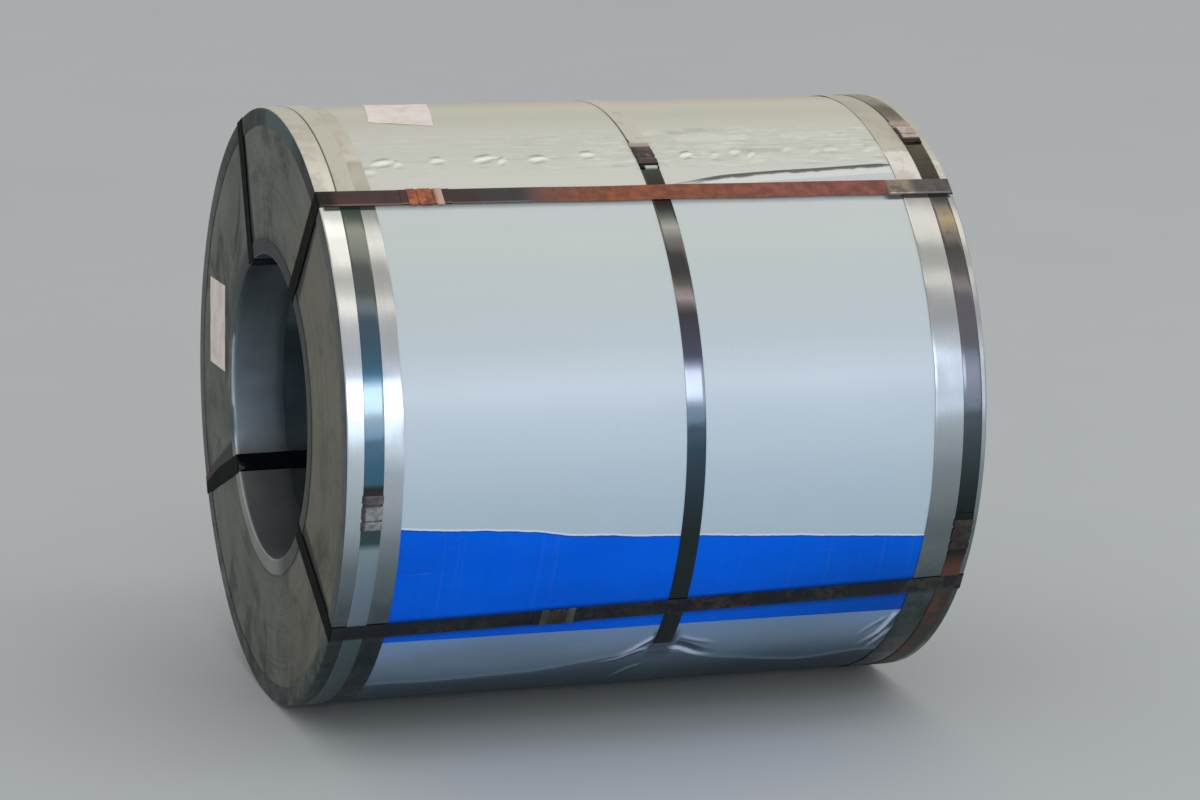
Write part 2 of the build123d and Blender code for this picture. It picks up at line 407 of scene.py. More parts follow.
def wrap_relief(x, deg):
    """Height in millimetres of the wrap's outside above its plain radius."""
    w1, w2, w3 = Wave(3, 10, 3.0, 9.0), Wave(11, 8, 9.0, 24.0), Wave(5, 9, 4.0, 12.0)
    arc = deg * 8.6  # millimetres round the body
    h = 0.10 * w1(x / 240, arc / 500) + 0.035 * w2(x / 260, arc / 420)
    edge = smooth(445.5, 428, np.abs(x))
    # lap: the outer layer rises towards its free edge, lifted a little where no strap holds it
    le = lap_edge(x)
    over = (deg <= le + 1e-6) & (deg > le - 24)
    rise = 0.75 * smooth(le - 22, le - 3, deg)
    lift = (0.9 + 0.5 * np.sin(x / 61.0)) * smooth(60, 120, x) * smooth(470, 400, x) * smooth(le - 6, le, deg)
    h = h + np.where(over, rise + lift, 0)
    # short pinches in a row above the strap, steep on the lower side
    g = np.random.default_rng(21)
    for dx, da, strong, size in DENTS:
        amp, lean = 2.1 * strong, g.uniform(-0.12, 0.12)
        u = x - dx
        v = (deg - da) * 8.6 + lean * u - 4.0 * (u / size) ** 2
        prof = np.where(v > 0, np.exp(-((v / 2.6) ** 2)), np.exp(-((v / 8.0) ** 2)))
        h = h + amp * prof * np.exp(-((u / size) ** 4))
        v2 = (deg - da) * 8.6 - 8.5 + lean * u - 4.0 * (u / size) ** 2
        h = h - 0.45 * np.exp(-((v2 / 4.0) ** 2)) * np.exp(-((u / (size * 0.8)) ** 4))
    # loose lower part: a long soft fold, pinched at the middle strap
    strap_at = body_x("middle", deg)
    xs = float(body_x("middle", 134.5))
    span = smooth(430, 330, np.abs(x)) * (1 - 0.93 * np.exp(-(((x - xs) / 62.0) ** 2)))
    fold_at = np.interp(x, [q[0] for q in FOLD], [q[1] for q in FOLD])
    v = (deg - fold_at) * 8.6
    h = h + 3.6 * span * np.where(v < 0, np.exp(-((v / 62.0) ** 2)), np.exp(-((v / 36.0) ** 2)))
    # creases that run out from the pinch
    for x0, a0, x1, a1, amp, width, trough in CREASES:
        cu, cs, length = crease_frame(x0, a0, x1, a1)
        du, ds = x - x0, -(deg - a0) * 8.6
        along, side = du * cu + ds * cs, -du * cs + ds * cu
        side = side + 2.5 * np.sin(along / 17.0 + x0)
        prof = smooth(-6, 8, along) * smooth(length + 12, length * 0.45, along)
        h = h + amp * prof * (np.exp(-((side / width) ** 2)) - 0.4 * np.exp(-(((side - trough * 1.9 * width) / width) ** 2)))
    # the sheet covers the middle strap under the pinch
    h = h + 1.6 * smooth(133.4, 134.6, deg) * smooth(223, 219, deg) * smooth(34, 17, np.abs(x - strap_at))
    # strap pressing in
    press = smooth(26, 16, np.abs(x - strap_at)) * (1 - smooth(133.2, 134.2, deg) * smooth(223, 221, deg))
    h = h * (1 - 0.9 * press * (1 - over * 0.9))
    # nothing deeper than the winding allows, nothing under the floor side or the rings
    down = np.maximum(-np.cos(np.radians(deg)), 1e-3)
    h = np.minimum(h, np.where(np.cos(np.radians(deg)) < -0.5, 493.75 / down - WRAP_R, 9.0))
    return np.maximum(h, -0.75) * np.where(h > 0, edge, 1.0) * np.where(np.abs(x) > 445.5, 0.0, 1.0)


def build_wrap():
    def stations(pieces):
        out = []
        for a, b, n in pieces:
            out += list(np.linspace(a, b, n, endpoint=False))
        return out
    angs = stations([(-180, -60, 66), (-60, 14, 44), (14, 22, 10), (22, 31.6, 36), (31.6, 36.0, 9)])
    k = len(angs)  # the free edge is the next four stations
    after = stations([(36.0, 48, 14), (48, 98, 40), (98, 126, 34), (126, 152, 56), (152, 180, 22)])
    xs = np.array(stations([(-HALF, -446, 5), (-446, -80, 46), (-80, -20, 12), (-20, 90, 32), (90, 160, 14), (160, 446, 40), (446, HALF, 5)]) + [HALF])
    rows = []
    le = lap_edge(xs)
    shift = le - 36.0
    for a in angs:
        rows.append((a + shift * smooth(14, 36, a), None))
    rows.append((le, "top"))
    rows.append((le, "under"))
    rows.append((le - 0.9, "deep"))
    rows.append((le + 0.02, "lower"))
    for a in after:
        rows.append((a + shift * smooth(60, 36, a) + (0.25 * smooth(48, 36, a)), None))
    pts = []
    for a, kind in rows:
        a = np.broadcast_to(np.asarray(a, float), xs.shape)
        if kind in (None, "top"):
            h = wrap_relief(xs, a)
        elif kind == "under":
            h = wrap_relief(xs, le) - 0.55
        else:
            h = np.full(xs.shape, 0.0) if kind == "lower" else np.full(xs.shape, -0.05)
        pts.append(polar(xs, WRAP_R + h, a))
    outer = np.array(pts)
    n, m = outer.shape[:2]
    faces = grid_faces(n, m, True, False)
    # inside face: straight across from end to end
    ang_in = [np.broadcast_to(np.asarray(a, float), xs.shape) for a, _ in rows]
    inner = np.array([[polar(xs[0], 491.06, a[0]), polar(xs[-1], 491.06, a[-1])] for a in ang_in])
    base = n * m
    for i in range(n):
        j = (i + 1) % n
        faces.append((base + 2 * i, base + 2 * i + 1, base + 2 * j + 1, base + 2 * j))
        faces.append((i * m, j * m, base + 2 * j, base + 2 * i))
        faces.append((i * m + m - 1, base + 2 * i + 1, base + 2 * j + 1, j * m + m - 1))
    verts = np.concatenate([outer.reshape(-1, 3), inner.reshape(-1, 3)])
    return new_object("outer_wrap_sheet", verts, faces, 50)


def body_base(name, deg):
    """Radius of a body strap's underside round the coil."""
    if name == "middle":
        h = np.array([float(wrap_relief(np.array([float(body_x("middle", d))]), np.array([d]))[0]) for d in deg])
        h = np.where((deg > 133.4) & (deg < 224), 0.0, np.clip(h, 0, 0.85))
        return WRAP_R + h
    return np.full(np.shape(deg), RING_R)


def build_body_strap(name, seed):
    deg = np.linspace(-180, 180, 480, endpoint=False)
    mid = body_x(name, deg)
    base = body_base(name, np.where(deg < 0, deg + 360, deg) if name == "middle" else deg)
    sec = flat_section(STRAP_W, STRAP_T)
    wob = 0.7 * ring_noise(seed, deg, 5, 1, 5)
    parts = [tube(np.stack([polar(c + sec[:, 0] + w, b + sec[:, 1], d) for d, b, w, c in zip(deg, base, wob, mid)]), True)]
    for seal, (owner, at) in BODY_SEALS.items():
        if owner != name:
            continue
        # the upper layer of the overlap, its free end standing off a little
        r0 = (WRAP_R if name == "middle" else RING_R) + STRAP_T
        if name == "middle":
            r0 += float(body_base("middle", np.array([at]))[0]) - WRAP_R
        s = np.linspace(-41, 41, 34)
        raise_end = {"body_seal_middle": 1.3, "body_seal_right_upper": 1.8, "body_seal_left": 0.5, "body_seal_right_lower": 1.2}[seal]
        lift = 0.03 + raise_end * smooth(26, 43, s) + 0.15 * smooth(-30, -41, s)
        lay = []
        for q, l in zip(s, lift):
            a = at + math.degrees(q / r0)
            lay.append(polar(float(body_x(name, a)) + sec[:, 0] * 0.985, r0 + l + sec[:, 1], a))
        parts.append(tube(np.stack(lay), False))
    v, f = join_data(parts)
    return new_object("strap_round_" + name, v, f, 30)


def build_eye_strap(name):
    out_l, out_r, in_l, in_r = EYE[name]
    c_out, c_in = 3.3, 2.4
    mid = (c_out + c_in) / 2
    r_top = STRAP_R + STRAP_T
    r_low = EYE_R - STRAP_T
    sec = flat_section(STRAP_W, STRAP_T, across=6)
    stations = []

    def put(c, w, n, curve):
        """One section: c on the underside's middle, w across, n outwards, curve is the side drop in mm per mm squared."""
        c, w, n = (np.asarray(q, float) for q in (c, w, n))
        side, high = sec[:, 0:1], sec[:, 1:2]
        stations.append((c + w * side + n * (high + curve * side**2)) * 0.001)

    def radial(a):
        a = math.radians(a)
        return np.array([0, -math.sin(a), math.cos(a)])

    def tangent(a):
        a = math.radians(a)
        return np.array([0, -math.cos(a), -math.sin(a)])

    X = np.array([1.0, 0, 0])

    def corner(sgn, a, deg_from, deg_to, centre_r, inward, steps, w, curve0, curve1):
        for k in range(steps + 1):
            t = k / steps
            q = math.radians(deg_from + (deg_to - deg_from) * t)
            n = math.cos(q) * inward * radial(a) + math.sin(q) * sgn * X
            centre = sgn * (RING_X + STRAP_T - c_out) * X + centre_r * radial(a)
            put(centre + n * c_in, w[0] * (1 - t) + w[1] * t, n, curve0 * (1 - t) + curve1 * t)

    def side_dir(a_out, a_in):
        p0, p1 = (r_top - c_out) * radial(a_out), (r_low + c_out) * radial(a_in)
        e = (p1 - p0) / np.linalg.norm(p1 - p0)
        return p0, p1, e

    k_out, k_in = -1 / (2 * 494.0), 1 / (2 * 252.0)
    # outside run, left to right
    sag = Wave(hash_name(name), 6, 1.0, 5.0)
    for x in np.linspace(-(RING_X + STRAP_T - c_out), RING_X + STRAP_T - c_out, 90):
        a = float(eye_angle(name, x)) + 0.09 * float(sag(x / 190)) * float(bump(x, 0, 520))
        put(x * X + STRAP_R * radial(a), tangent(a), radial(a), k_out)
    # over the right edge, down the end face, round the bore edge
    for sgn, a_out, a_in in ((1, out_r, in_r), (-1, out_l, in_l)):
        p0, p1, e = side_dir(a_out, a_in)
        w_end = np.cross(e, X)
        if np.dot(w_end, tangent(a_out)) < 0:
            w_end = -w_end
        run = []
        start = len(stations)
        corner(sgn, a_out, 0, 90, r_top - c_out, 1, 8, (tangent(a_out), w_end), k_out, 0)
        for t in np.linspace(0, 1, 22)[1:-1]:
            put(sgn * RING_X * X + p0 * (1 - t) + p1 * t, w_end, sgn * X, 0)
        corner(sgn, a_in, 90, 0, r_low + c_out, -1, 8, (w_end, tangent(a_in)), 0, k_in)
        if sgn == -1:
            stations[start:] = stations[start:][::-1]
        if sgn == 1:
            for x in np.linspace(RING_X + STRAP_T - c_out, -(RING_X + STRAP_T - c_out), 60)[1:-1]:
                a = in_r + (in_l - in_r) * (RING_X - x) / (2 * RING_X)
                put(x * X + EYE_R * radial(a), tangent(a), -radial(a), k_in)
    parts = [tube(np.stack(stations), True)]
    for seal, (owner, x0) in EYE_SEALS.items():
        if owner != name:
            continue
        s = np.linspace(-41, 41, 30)
        lift = 0.03 + 0.6 * smooth(28, 42, s)
        layer = []
        for q, l in zip(s, lift):
            a = float(eye_angle(name, x0 + q))
            c = (x0 + q) * X + (r_top + l) * radial(a)
            layer.append((c + tangent(a) * sec[:, 0:1] * 0.985 + radial(a) * (sec[:, 1:2] + k_out * sec[:, 0:1] ** 2)) * 0.001)
        parts.append(tube(np.stack(layer), False))
    v, f = join_data(parts)
    return new_object("strap_eye_" + name, v, f, 30)


def hash_name(name):
    return sum((i + 3) * ord(c) for i, c in enumerate(name)) % 9973


def seal_mesh(place, seed):
    """Crimped seal in its own coordinates: along the strap, across it, height above the surface. place maps them to the row frame."""
    g = np.random.default_rng(seed)
    half_w, t = 16.2, 0.9
    top = 2 * STRAP_T
    out = half_w + t
    # open channel section, outside then inside
    path = [(-out, 0.15)]
    for a in (180, 157, 135, 112, 90):
        path.append((-out + 1.1 + 1.1 * math.cos(math.radians(a)), top + t - 1.1 + 1.1 * math.sin(math.radians(a))))
    for k in range(1, 12):
        path.append((-out + 1.1 + (2 * out - 2.2) * k / 12, top + t))
    for a in (90, 68, 45, 23, 0):
        path.append((out - 1.1 + 1.1 * math.cos(math.radians(a)), top + t - 1.1 + 1.1 * math.sin(math.radians(a))))
    path += [(out, 0.15), (half_w, 0.15), (half_w, top), (half_w / 2, top), (0, top), (-half_w / 2, top), (-half_w, top), (-half_w, 0.15)]
    sec = np.array(path)
    ls = np.unique(np.concatenate([np.linspace(-28.5, 28.5, 40), np.linspace(-17, -9, 14), np.linspace(9, 17, 14)]))
    stations = []
    skew = g.uniform(-0.02, 0.02)
    for l in ls:
        w, h = sec[:, 0].copy(), sec[:, 1].copy()
        for c in (-13.0, 13.0):
            k = math.exp(-(((l - c) / 2.4) ** 4))
            inner = math.exp(-(((l - c) / 5.0) ** 2))
            outside = np.abs(w) > 9.5
            w = np.where(outside, w - np.sign(w) * 3.4 * k * smooth(9.5, 16, np.abs(w)), w)
            h = h + np.where(sec[:, 1] > 1.0, 0.75 * inner * smooth(6, 13, np.abs(w)) * (1 - 1.9 * k * smooth(8, 15, np.abs(w))), 0)
        ends = smooth(25.5, 28.5, abs(l))
        h = h - 0.25 * float(ends) * (sec[:, 1] > 1.9)
        h = h + 0.12 * math.sin(l * 0.55 + seed) * (sec[:, 1] > 2.0)
        stations.append(place(np.full(w.shape, l), w + skew * l, h))
    return tube(np.stack(stations), False)


def build_body_seal(seal):
    name, at = BODY_SEALS[seal]
    base = float(body_base(name, np.array([at]))[0])

    def place(l, w, h):
        a = at + np.degrees(l / base)
        return polar(body_x(name, a) + w, base + h, a)

    v, f = seal_mesh(place, hash_name(seal))
    return new_object(seal + "_crimped", v, f, 32)


def build_eye_seal(seal):
    name, x0 = EYE_SEALS[seal]
    left, right = EYE[name][:2]
    slope = (right - left) / (2 * RING_X)

    def place(l, w, h):
        a = eye_angle(name, x0) + slope * l + np.degrees(w / STRAP_R)
        return polar(x0 + l, STRAP_R + h, a)

    v, f = seal_mesh(place, hash_name(seal))
    return new_object(seal + "_crimped", v, f, 32)


def build_outer_ring(side, seed):
    """L-section ring over the outside edge. The sheet strip's own ends lap, which shows as a step."""
    n = 540
    deg = np.linspace(-180, 180, n, endpoint=False)
    wav = ring_noise(seed, deg, 9, 5, 40)
    wav2 = ring_noise(seed + 1, deg, 7, 3, 17)
    lap_at = 28.2 if side > 0 else -96.0
    d = (deg - lap_at) % 360
    lap = 0.55 * smooth(0.0, 0.45, d) * smooth(70, 14, d)
    stations = []
    for i, a in enumerate(deg):
        free = 0.35 * wav[i] + 0.35
        c = 2.5
        L = lap[i]
        pts = []
        xin = RING_X - LEG - 0.8 * wav2[i] - 0.4
        r_o = RING_R
        # outside: from the free edge over the leg to the rounded corner
        pts.append((xin, r_o - 0.15 + free + L))
        pts.append((xin + 0.7, r_o + free + L))
        pts.append((xin + 6, r_o + 0.25 * free + L))
        for t in (0.3, 0.45, 0.55, 0.7, 0.85):
            pts.append((xin + (RING_X - c - xin) * t, r_o + (L if t < 0.52 else 0.0)))
        for q in (90, 68, 45, 22, 0):
            pts.append((RING_X - c + c * math.cos(math.radians(q)), r_o - c + c * math.sin(math.radians(q))))
        # end leg, its edge a little wavy
        low = RING_R - 30 - 0.7 * wav2[i]
        for t in (0.35, 0.7, 0.95):
            pts.append((RING_X - 0.05 * abs(wav[i]), (r_o - c) + (low - (r_o - c)) * t))
        pts.append((RING_X - 0.15, low))
        pts.append((DISC_X + 0.05, low))
        pts.append((DISC_X + 0.05, WRAP_R + 0.05))
        pts.append((xin + 6, WRAP_R + 0.06))
        pts.append((xin, r_o - 0.75 + free))
        p = np.array(pts)
        stations.append(polar(side * p[:, 0], p[:, 1], a))
    v, f = tube(np.stack(stations), True)
    return new_object("edge_ring_outer_" + ("right" if side > 0 else "left"), v, f, 40)


def build_inner_ring(side, seed):
    n = 360
    deg = np.linspace(-180, 180, n, endpoint=False)
    wav = ring_noise(seed, deg, 8, 4, 26)
    stations = []
    for i, a in enumerate(deg):
        c = 2.5
        xin = RING_X - LEG + 0.8 * wav[i]
        pts = [(xin, EYE_R + 0.1), (xin + 0.6, EYE_R)]
        for t in (0.2, 0.4, 0.6, 0.8, 0.95):
            pts.append((xin + (RING_X - c - xin) * t, EYE_R))
        for q in (90, 68, 45, 22, 0):
            pts.append((RING_X - c + c * math.cos(math.radians(q)), EYE_R + c - c * math.sin(math.radians(q))))
        top = EYE_R + 26 + 0.8 * wav[i]
        for t in (0.3, 0.65, 0.95):
            pts.append((RING_X - 0.04 * abs(wav[i]), EYE_R + c + (top - EYE_R - c) * t))
        pts += [(RING_X - 0.15, top), (DISC_X + 0.05, top), (DISC_X + 0.05, LINER_R - 0.05), (xin, LINER_R - 0.05)]
        p = np.array(pts)
        stations.append(polar(side * p[:, 0], p[:, 1], a))
    v, f = tube(np.stack(stations), True)
    return new_object("edge_ring_bore_" + ("right" if side > 0 else "left"), v, f, 40)


def build_disc(side, seed):
    """Cover disc: a flat washer of sheet, slightly uneven between its rings."""
    n = 480
    deg = np.linspace(-180, 180, n, endpoint=False)
    w = Wave(seed, 12, 1.5, 6.0)
    radii = np.concatenate([[253.0, 253.4], np.linspace(258, 487, 24), [491.4, 491.9]])
    prof = []
    for a in deg:
        ar = math.radians(a)
        out = []
        for r in radii:
            y, z = -r * math.sin(ar), r * math.cos(ar)
            free = float(smooth(278, 300, r) * smooth(463, 440, r))
            dx = 0.34 * float(w(y / 210, z / 210)) * free
            edge = 0.25 if r in (253.0, 491.9) else 0.0
            out.append((DISC_X + dx - edge, r))
        out += [(HALF + 0.05, 491.9), (HALF + 0.05, 253.0)]
        p = np.array(out)
        prof.append(polar(side * p[:, 0], p[:, 1], a))
    v, f = tube(np.stack(prof), True)
    return new_object("cover_disc_" + ("right" if side > 0 else "left"), v, f, 40)


def build_liner():
    """Sheet sleeve in the bore, with its lengthwise lap."""
    n = 360
    deg = np.linspace(-180, 180, n, endpoint=False)
    xs = np.concatenate([[-HALF + 0.05], np.linspace(-520, 520, 40), [HALF - 0.05]])
    w = Wave(71, 10, 2.0, 9.0)
    rows = []
    seam = -62.0
    for a in deg:
        d = (a - seam) % 360
        step = 0.55 * float(smooth(0.0, 0.6, d) * smooth(26, 8, d))
        r = LINER_R - (0.10 + 0.10 * w(xs / 260, a / 24.0)) * smooth(446, 400, np.abs(xs)) - step * (np.abs(xs) < 445)
        rows.append(np.concatenate([polar(xs, r, a), polar(np.array([xs[-1], xs[0]]), np.array([253.9, 253.9]), a)]))
    v, f = tube(np.stack(rows), True)
    return new_object("bore_sleeve", v, f, 40)


def build_label_end():
    """Paper label on the left cover disc, its edges lifting slightly."""
    w, h, cy, cz = 108.0, 150.0, 362.0, 66.0
    ny, nz = 18, 26
    wv = Wave(91, 7, 2.0, 7.0)
    ys, zs = np.linspace(-w / 2, w / 2, ny), np.linspace(-h / 2, h / 2, nz)
    Y, Z = np.meshgrid(ys, zs)
    edge = np.maximum(np.abs(Y) / (w / 2), np.abs(Z) / (h / 2))
    lift = 0.12 + 0.10 * wv(Y / 60, Z / 60) + 0.35 * smooth(0.86, 1.0, edge) * (0.5 + 0.5 * wv(Z / 40, Y / 40))
    lift = np.clip(lift, 0.05, 0.8)
    tilt = math.radians(-2.0)
    yy, zz = cy + Y * math.cos(tilt) - Z * math.sin(tilt), cz + Y * math.sin(tilt) + Z * math.cos(tilt)
    top = np.stack([-(DISC_X + lift + 0.35), yy, zz], -1) * 0.001
    low = np.stack([-(DISC_X + lift + 0.12), yy, zz], -1) * 0.001
    return sheet_between(top, low, "label_on_end")


def build_label_top():
    w, l, cx, at, twist = 105.0, 172.0, -329.0, 2.0, math.radians(-12.0)
    nu, nv = 18, 30
    wv = Wave(93, 7, 2.0, 7.0)
    U, V = np.meshgrid(np.linspace(-w / 2, w / 2, nu), np.linspace(-l / 2, l / 2, nv))
    edge = np.maximum(np.abs(U) / (w / 2), np.abs(V) / (l / 2))
    lift = np.clip(0.10 + 0.08 * wv(U / 60, V / 60) + 0.5 * smooth(0.88, 1.0, edge) * (0.5 + 0.5 * wv(V / 40, U / 40)), 0.04, 0.9)
    x = cx + U * math.cos(twist) - V * math.sin(twist)
    arc = U * math.sin(twist) + V * math.cos(twist)
    deg = at - np.degrees(arc / WRAP_R)
    base = WRAP_R + np.maximum(wrap_relief(x, deg), -0.1)
    top, low = polar(x, base + lift + 0.30, deg), polar(x, base + lift + 0.06, deg)
    return sheet_between(top, low, "label_on_wrap")


def sheet_between(top, low, name):
    n, m = top.shape[:2]
    v = np.concatenate([top.reshape(-1, 3), low.reshape(-1, 3)])
    f = grid_faces(n, m, False, False) + [tuple(reversed(q)) for q in grid_faces(n, m, False, False, n * m)]
    rim = [j for j in range(m)] + [i * m + m - 1 for i in range(1, n)] + [(n - 1) * m + j for j in range(m - 2, -1, -1)] + [i * m for i in range(n - 2, 0, -1)]
    for a, b in zip(rim, rim[1:] + rim[:1]):
        f.append((a, b, b + n * m, a + n * m))
    return new_object(name, v, f, 40)


# ---------------------------------------------------------------- materials
def mat_wrap():
    g = Graph("wrap_coating")
    x, ang, rad = g.polar()
    p = g.pos
    wob = g.sub(g.noise(p, 9, 4, 0.6), 0.5)
    wob2 = g.sub(g.noise(p, 55, 3, 0.6), 0.5)
    patch = g.noise(p, 3.0, 3, 0.55)
    # position with a slight waver, for all marks that are not ruled lines
    xw, aw = g.add(x, g.mul(wob2, 4.0)), g.add(ang, g.mul(wob2, 0.30))
    # grey-white coating, slightly uneven; its brighter band near 76 degrees is a painted sheen of the front light, its
    # cooler tint lower down a painted reflection
    col = g.ramp(aw, ((39.5, srgb(196, 197, 197)), (44, srgb(193, 198, 195)), (47, srgb(192, 200, 194)), (55, srgb(191, 198, 197)), (68, srgb(192, 202, 208)), (76, srgb(204, 215, 227)), (81, srgb(195, 208, 221)), (98, srgb(184, 202, 215))))
    col = g.mix(g.mul(g.step(patch, 0.35, 0.65), 0.10), col, srgb(176, 186, 190))
    # outer layer over the top, up to the free edge: its warm beige tone by angle is a painted reflection of warm light
    # from above, with dust blots
    lap = g.curve(x, ((40, 35.3), (92, 34.2), (120, 33.6), (150, 32.95), (195, 32.5), (246, 32.05), (308, 31.75), (380, 31.25), (427, 30.95), (534, 30.8)))
    lap = g.mixf(g.step(x, 39.0, 41.0), g.add(37.3, g.mul(x, 0.0017)), lap)
    over = g.mul(g.step(g.sub(ang, lap), 0.05, -0.05), g.step(ang, -75.0, -55.0))
    top_dust_and_warm_sheen = g.ramp(aw, ((-34, srgb(188, 184, 170)), (-12, srgb(172, 158, 142)), (-3, srgb(184, 174, 155)), (3, srgb(198, 193, 173)), (10, srgb(190, 187, 171)), (18, srgb(200, 199, 186)), (24, srgb(200, 200, 188)), (32, srgb(206, 205, 195))))
    top_dust_and_warm_sheen = g.mix(g.mul(g.noise(g.scale(p, (5, 14, 14)), 1.0, 4, 0.6), 0.35), top_dust_and_warm_sheen, srgb(188, 184, 166))
    col = g.mix(over, col, top_dust_and_warm_sheen)
    # blue band: its upper limit climbs from left to right, its lower one is nearly level
    top = g.add(g.mul(x, 0.00866), 104.55)
    top = g.add(top, g.mul(g.step(x, -230.0, -160.0), g.mul(g.step(x, 420.0, -160.0), 0.75)))
    top = g.add(top, g.add(g.mul(wob, 0.9), g.mul(wob2, 0.25)))
    low = g.add(127.7, g.mul(wob, 0.5))
    blue_mask = g.mul(g.step(g.sub(ang, top), -0.03, 0.03), g.step(g.sub(ang, low), 0.04, -0.04))
    blue = g.mix(g.step(g.noise(g.scale(p, (4, 9, 9)), 1.0, 3, 0.5), 0.35, 0.7), (0.0, 0.130, 0.85), (0.0, 0.108, 0.74))
    blue = g.mix(g.mul(g.mul(g.step(xw, 60.0, 460.0), g.step(aw, 104.0, 124.0)), 0.75), blue, (0.0, 0.070, 0.38))
    # painted shade in a thin dark strip just under the band's top edge
    blue = g.mix(g.mul(g.step(g.sub(ang, top), 0.34, 0.0), 0.75), blue, (0.0, 0.02, 0.16))
    # bare primer below the band, round the underside: its blue tint and darkening towards the floor are painted
    # reflection and painted shade, with a painted shaded patch on the right
    under = g.mx(g.step(g.sub(ang, low), -0.04, 0.04), g.step(ang, -138.0, -138.3))
    grey = g.ramp(g.m("ABSOLUTE", aw), ((128, srgb(128, 158, 196)), (134, srgb(128, 148, 172)), (140, srgb(112, 134, 154)), (147, srgb(88, 108, 124)), (156, srgb(80, 96, 104))))
    grey = g.mix(g.mul(g.mul(g.step(xw, 60.0, 260.0), g.step(aw, 134.0, 143.0)), 0.6), grey, srgb(62, 78, 90))
    grey = g.mix(g.mul(g.step(g.noise(g.scale(p, (3, 8, 8)), 1.0, 4, 0.6), 0.3, 0.7), 0.25), grey, srgb(92, 104, 118))
    col = g.mix(under, col, grey)
    # painted highlight: a pale line along the band's top edge where the edge catches the light
    line = g.mul(g.step(g.sub(ang, top), -0.46, -0.34), g.step(g.sub(ang, top), 0.0, -0.06))
    col = g.mix(g.mul(line, 0.75), col, srgb(232, 234, 248))
    col = g.mix(blue_mask, col, blue)
    # fine rolling streaks round the coil and handling scuffs along it
    streak = g.noise(g.vec(g.mul(x, 0.16), g.mul(ang, 0.012), 3.0), 1.0, 4, 0.65)
    col = g.mix(g.mul(g.step(streak, 0.55, 0.8), 0.06), col, srgb(150, 160, 165))
    scuff = g.noise(g.vec(g.mul(x, 0.010), g.mul(ang, 1.3), 7.0), 1.0, 5, 0.7)
    where = g.step(g.noise(g.scale(p, (2.3, 4, 4)), 1.0, 2, 0.5), 0.42, 0.62)
    col = g.mix(g.mul(g.mul(g.step(scuff, 0.58, 0.72), where), g.mixf(over, 0.06, 0.30)), col, srgb(152, 152, 138))
    scuff2 = g.noise(g.vec(g.mul(x, 0.013), g.mul(ang, 1.7), 15.0), 1.0, 4, 0.65)
    col = g.mix(g.mul(g.mul(g.step(scuff2, 0.62, 0.72), where), g.mixf(over, 0.10, 0.45)), col, srgb(226, 226, 214))
    # painted highlights on the ridges and painted shade under the short pinches in the lap
    light = dark = None
    ragged = g.step(g.noise(g.scale(p, (26, 8, 8)), 1.0, 2, 0.5), 0.30, 0.42, 0.55, 1.0)
    for k, (dx, da, strong, size) in enumerate(DENTS):
        u = g.mul(g.sub(xw, float(dx)), 1.0 / size)
        v = g.add(g.add(g.mul(g.sub(aw, float(da)), 8.6), g.mul(u, 3.5 + ((k * 5) % 7 - 3) * 0.8)), g.mul(g.mul(u, u), -2.5))
        side = g.mul(g.step(g.m("ABSOLUTE", g.add(u, 0.15)), 0.95, 0.35), ragged)
        uu = g.mul(u, u)
        a = g.mul(ragged, g.step(g.add(g.m("ABSOLUTE", g.add(v, 4.0)), g.sub(g.mul(uu, 7.0), 5.2)), 2.6, -2.6))
        b1 = g.step(g.add(g.m("ABSOLUTE", g.add(v, 14.0)), g.sub(g.mul(uu, 5.0), 2.6)), 2.6, -2.0)
        b2 = g.step(g.add(g.m("ABSOLUTE", g.sub(v, 5.0)), g.sub(g.mul(uu, 4.0), 1.8)), 2.0, -1.6)
        b = g.mul(side, g.mx(b1, g.mul(b2, 0.75)))
        a, b = g.mul(a, strong), g.mul(b, strong)
        light = a if light is None else g.mx(light, a)
        dark = b if dark is None else g.mx(dark, b)
    # a faint broken crease joins them, drawn as a painted shade line
    join = g.add(g.sub(ang, 26.75), g.mul(wob, 1.2))
    broken = g.step(g.noise(g.scale(p, (14, 3, 3)), 1.0, 2, 0.5), 0.45, 0.55)
    crease = g.mul(g.mul(g.band(xw, -420.0, 430.0, 15.0), broken), g.mul(g.step(join, -0.16, -0.04), g.step(join, 0.20, 0.06)))
    col = g.mix(g.mul(crease, 0.45), col, srgb(150, 148, 136))
    # faint wrinkles along the lap, painted as highlight over shade
    for shift, k in ((0.0, 0.30), (5.3, 0.25)):
        wr = g.noise(g.vec(g.mul(x, 0.021), g.add(g.mul(ang, 1.15), shift), 21.0 + shift), 1.0, 3, 0.6, 0.4)
        zone = g.mul(g.mul(g.step(aw, 14.0, 20.0), g.step(aw, 31.5, 29.5)), g.step(xw, -440.0, 150.0, 0.35, 1.0))
        col = g.mix(g.mul(g.mul(g.step(wr, 0.56, 0.66), zone), k), col, srgb(238, 236, 224))
        col = g.mix(g.mul(g.mul(g.step(wr, 0.44, 0.34), zone), k), col, srgb(158, 156, 144))
    # painted highlight on the pinches' ridges, then painted shade under them
    col = g.mix(g.mul(light, 0.78), col, srgb(250, 248, 236))
    col = g.mix(g.mul(dark, 0.60), col, srgb(122, 120, 108))
    # longer flat wrinkles to the right of the middle strap, painted as pale highlight and dark shade lines
    for x0, x1, at, half, tone, k in ((105, 215, 21.0, 0.7, (220, 218, 204), 0.42), (290, 375, 20.6, 0.7, (216, 214, 202), 0.36), (130, 190, 24.2, 0.5, (214, 212, 200), 0.32),
                                      (128, 152, 17.6, 0.6, (158, 158, 144), 0.42), (96, 112, 18.4, 0.6, (160, 160, 146), 0.36), (205, 262, 25.6, 0.5, (160, 158, 148), 0.4)):
        bend = g.add(g.sub(ang, at), g.mul(wob, 1.6))
        col = g.mix(g.mul(g.mul(g.band(xw, x0, x1, 14.0), g.band(bend, -half, half, 0.5)), k), col, srgb(*tone))
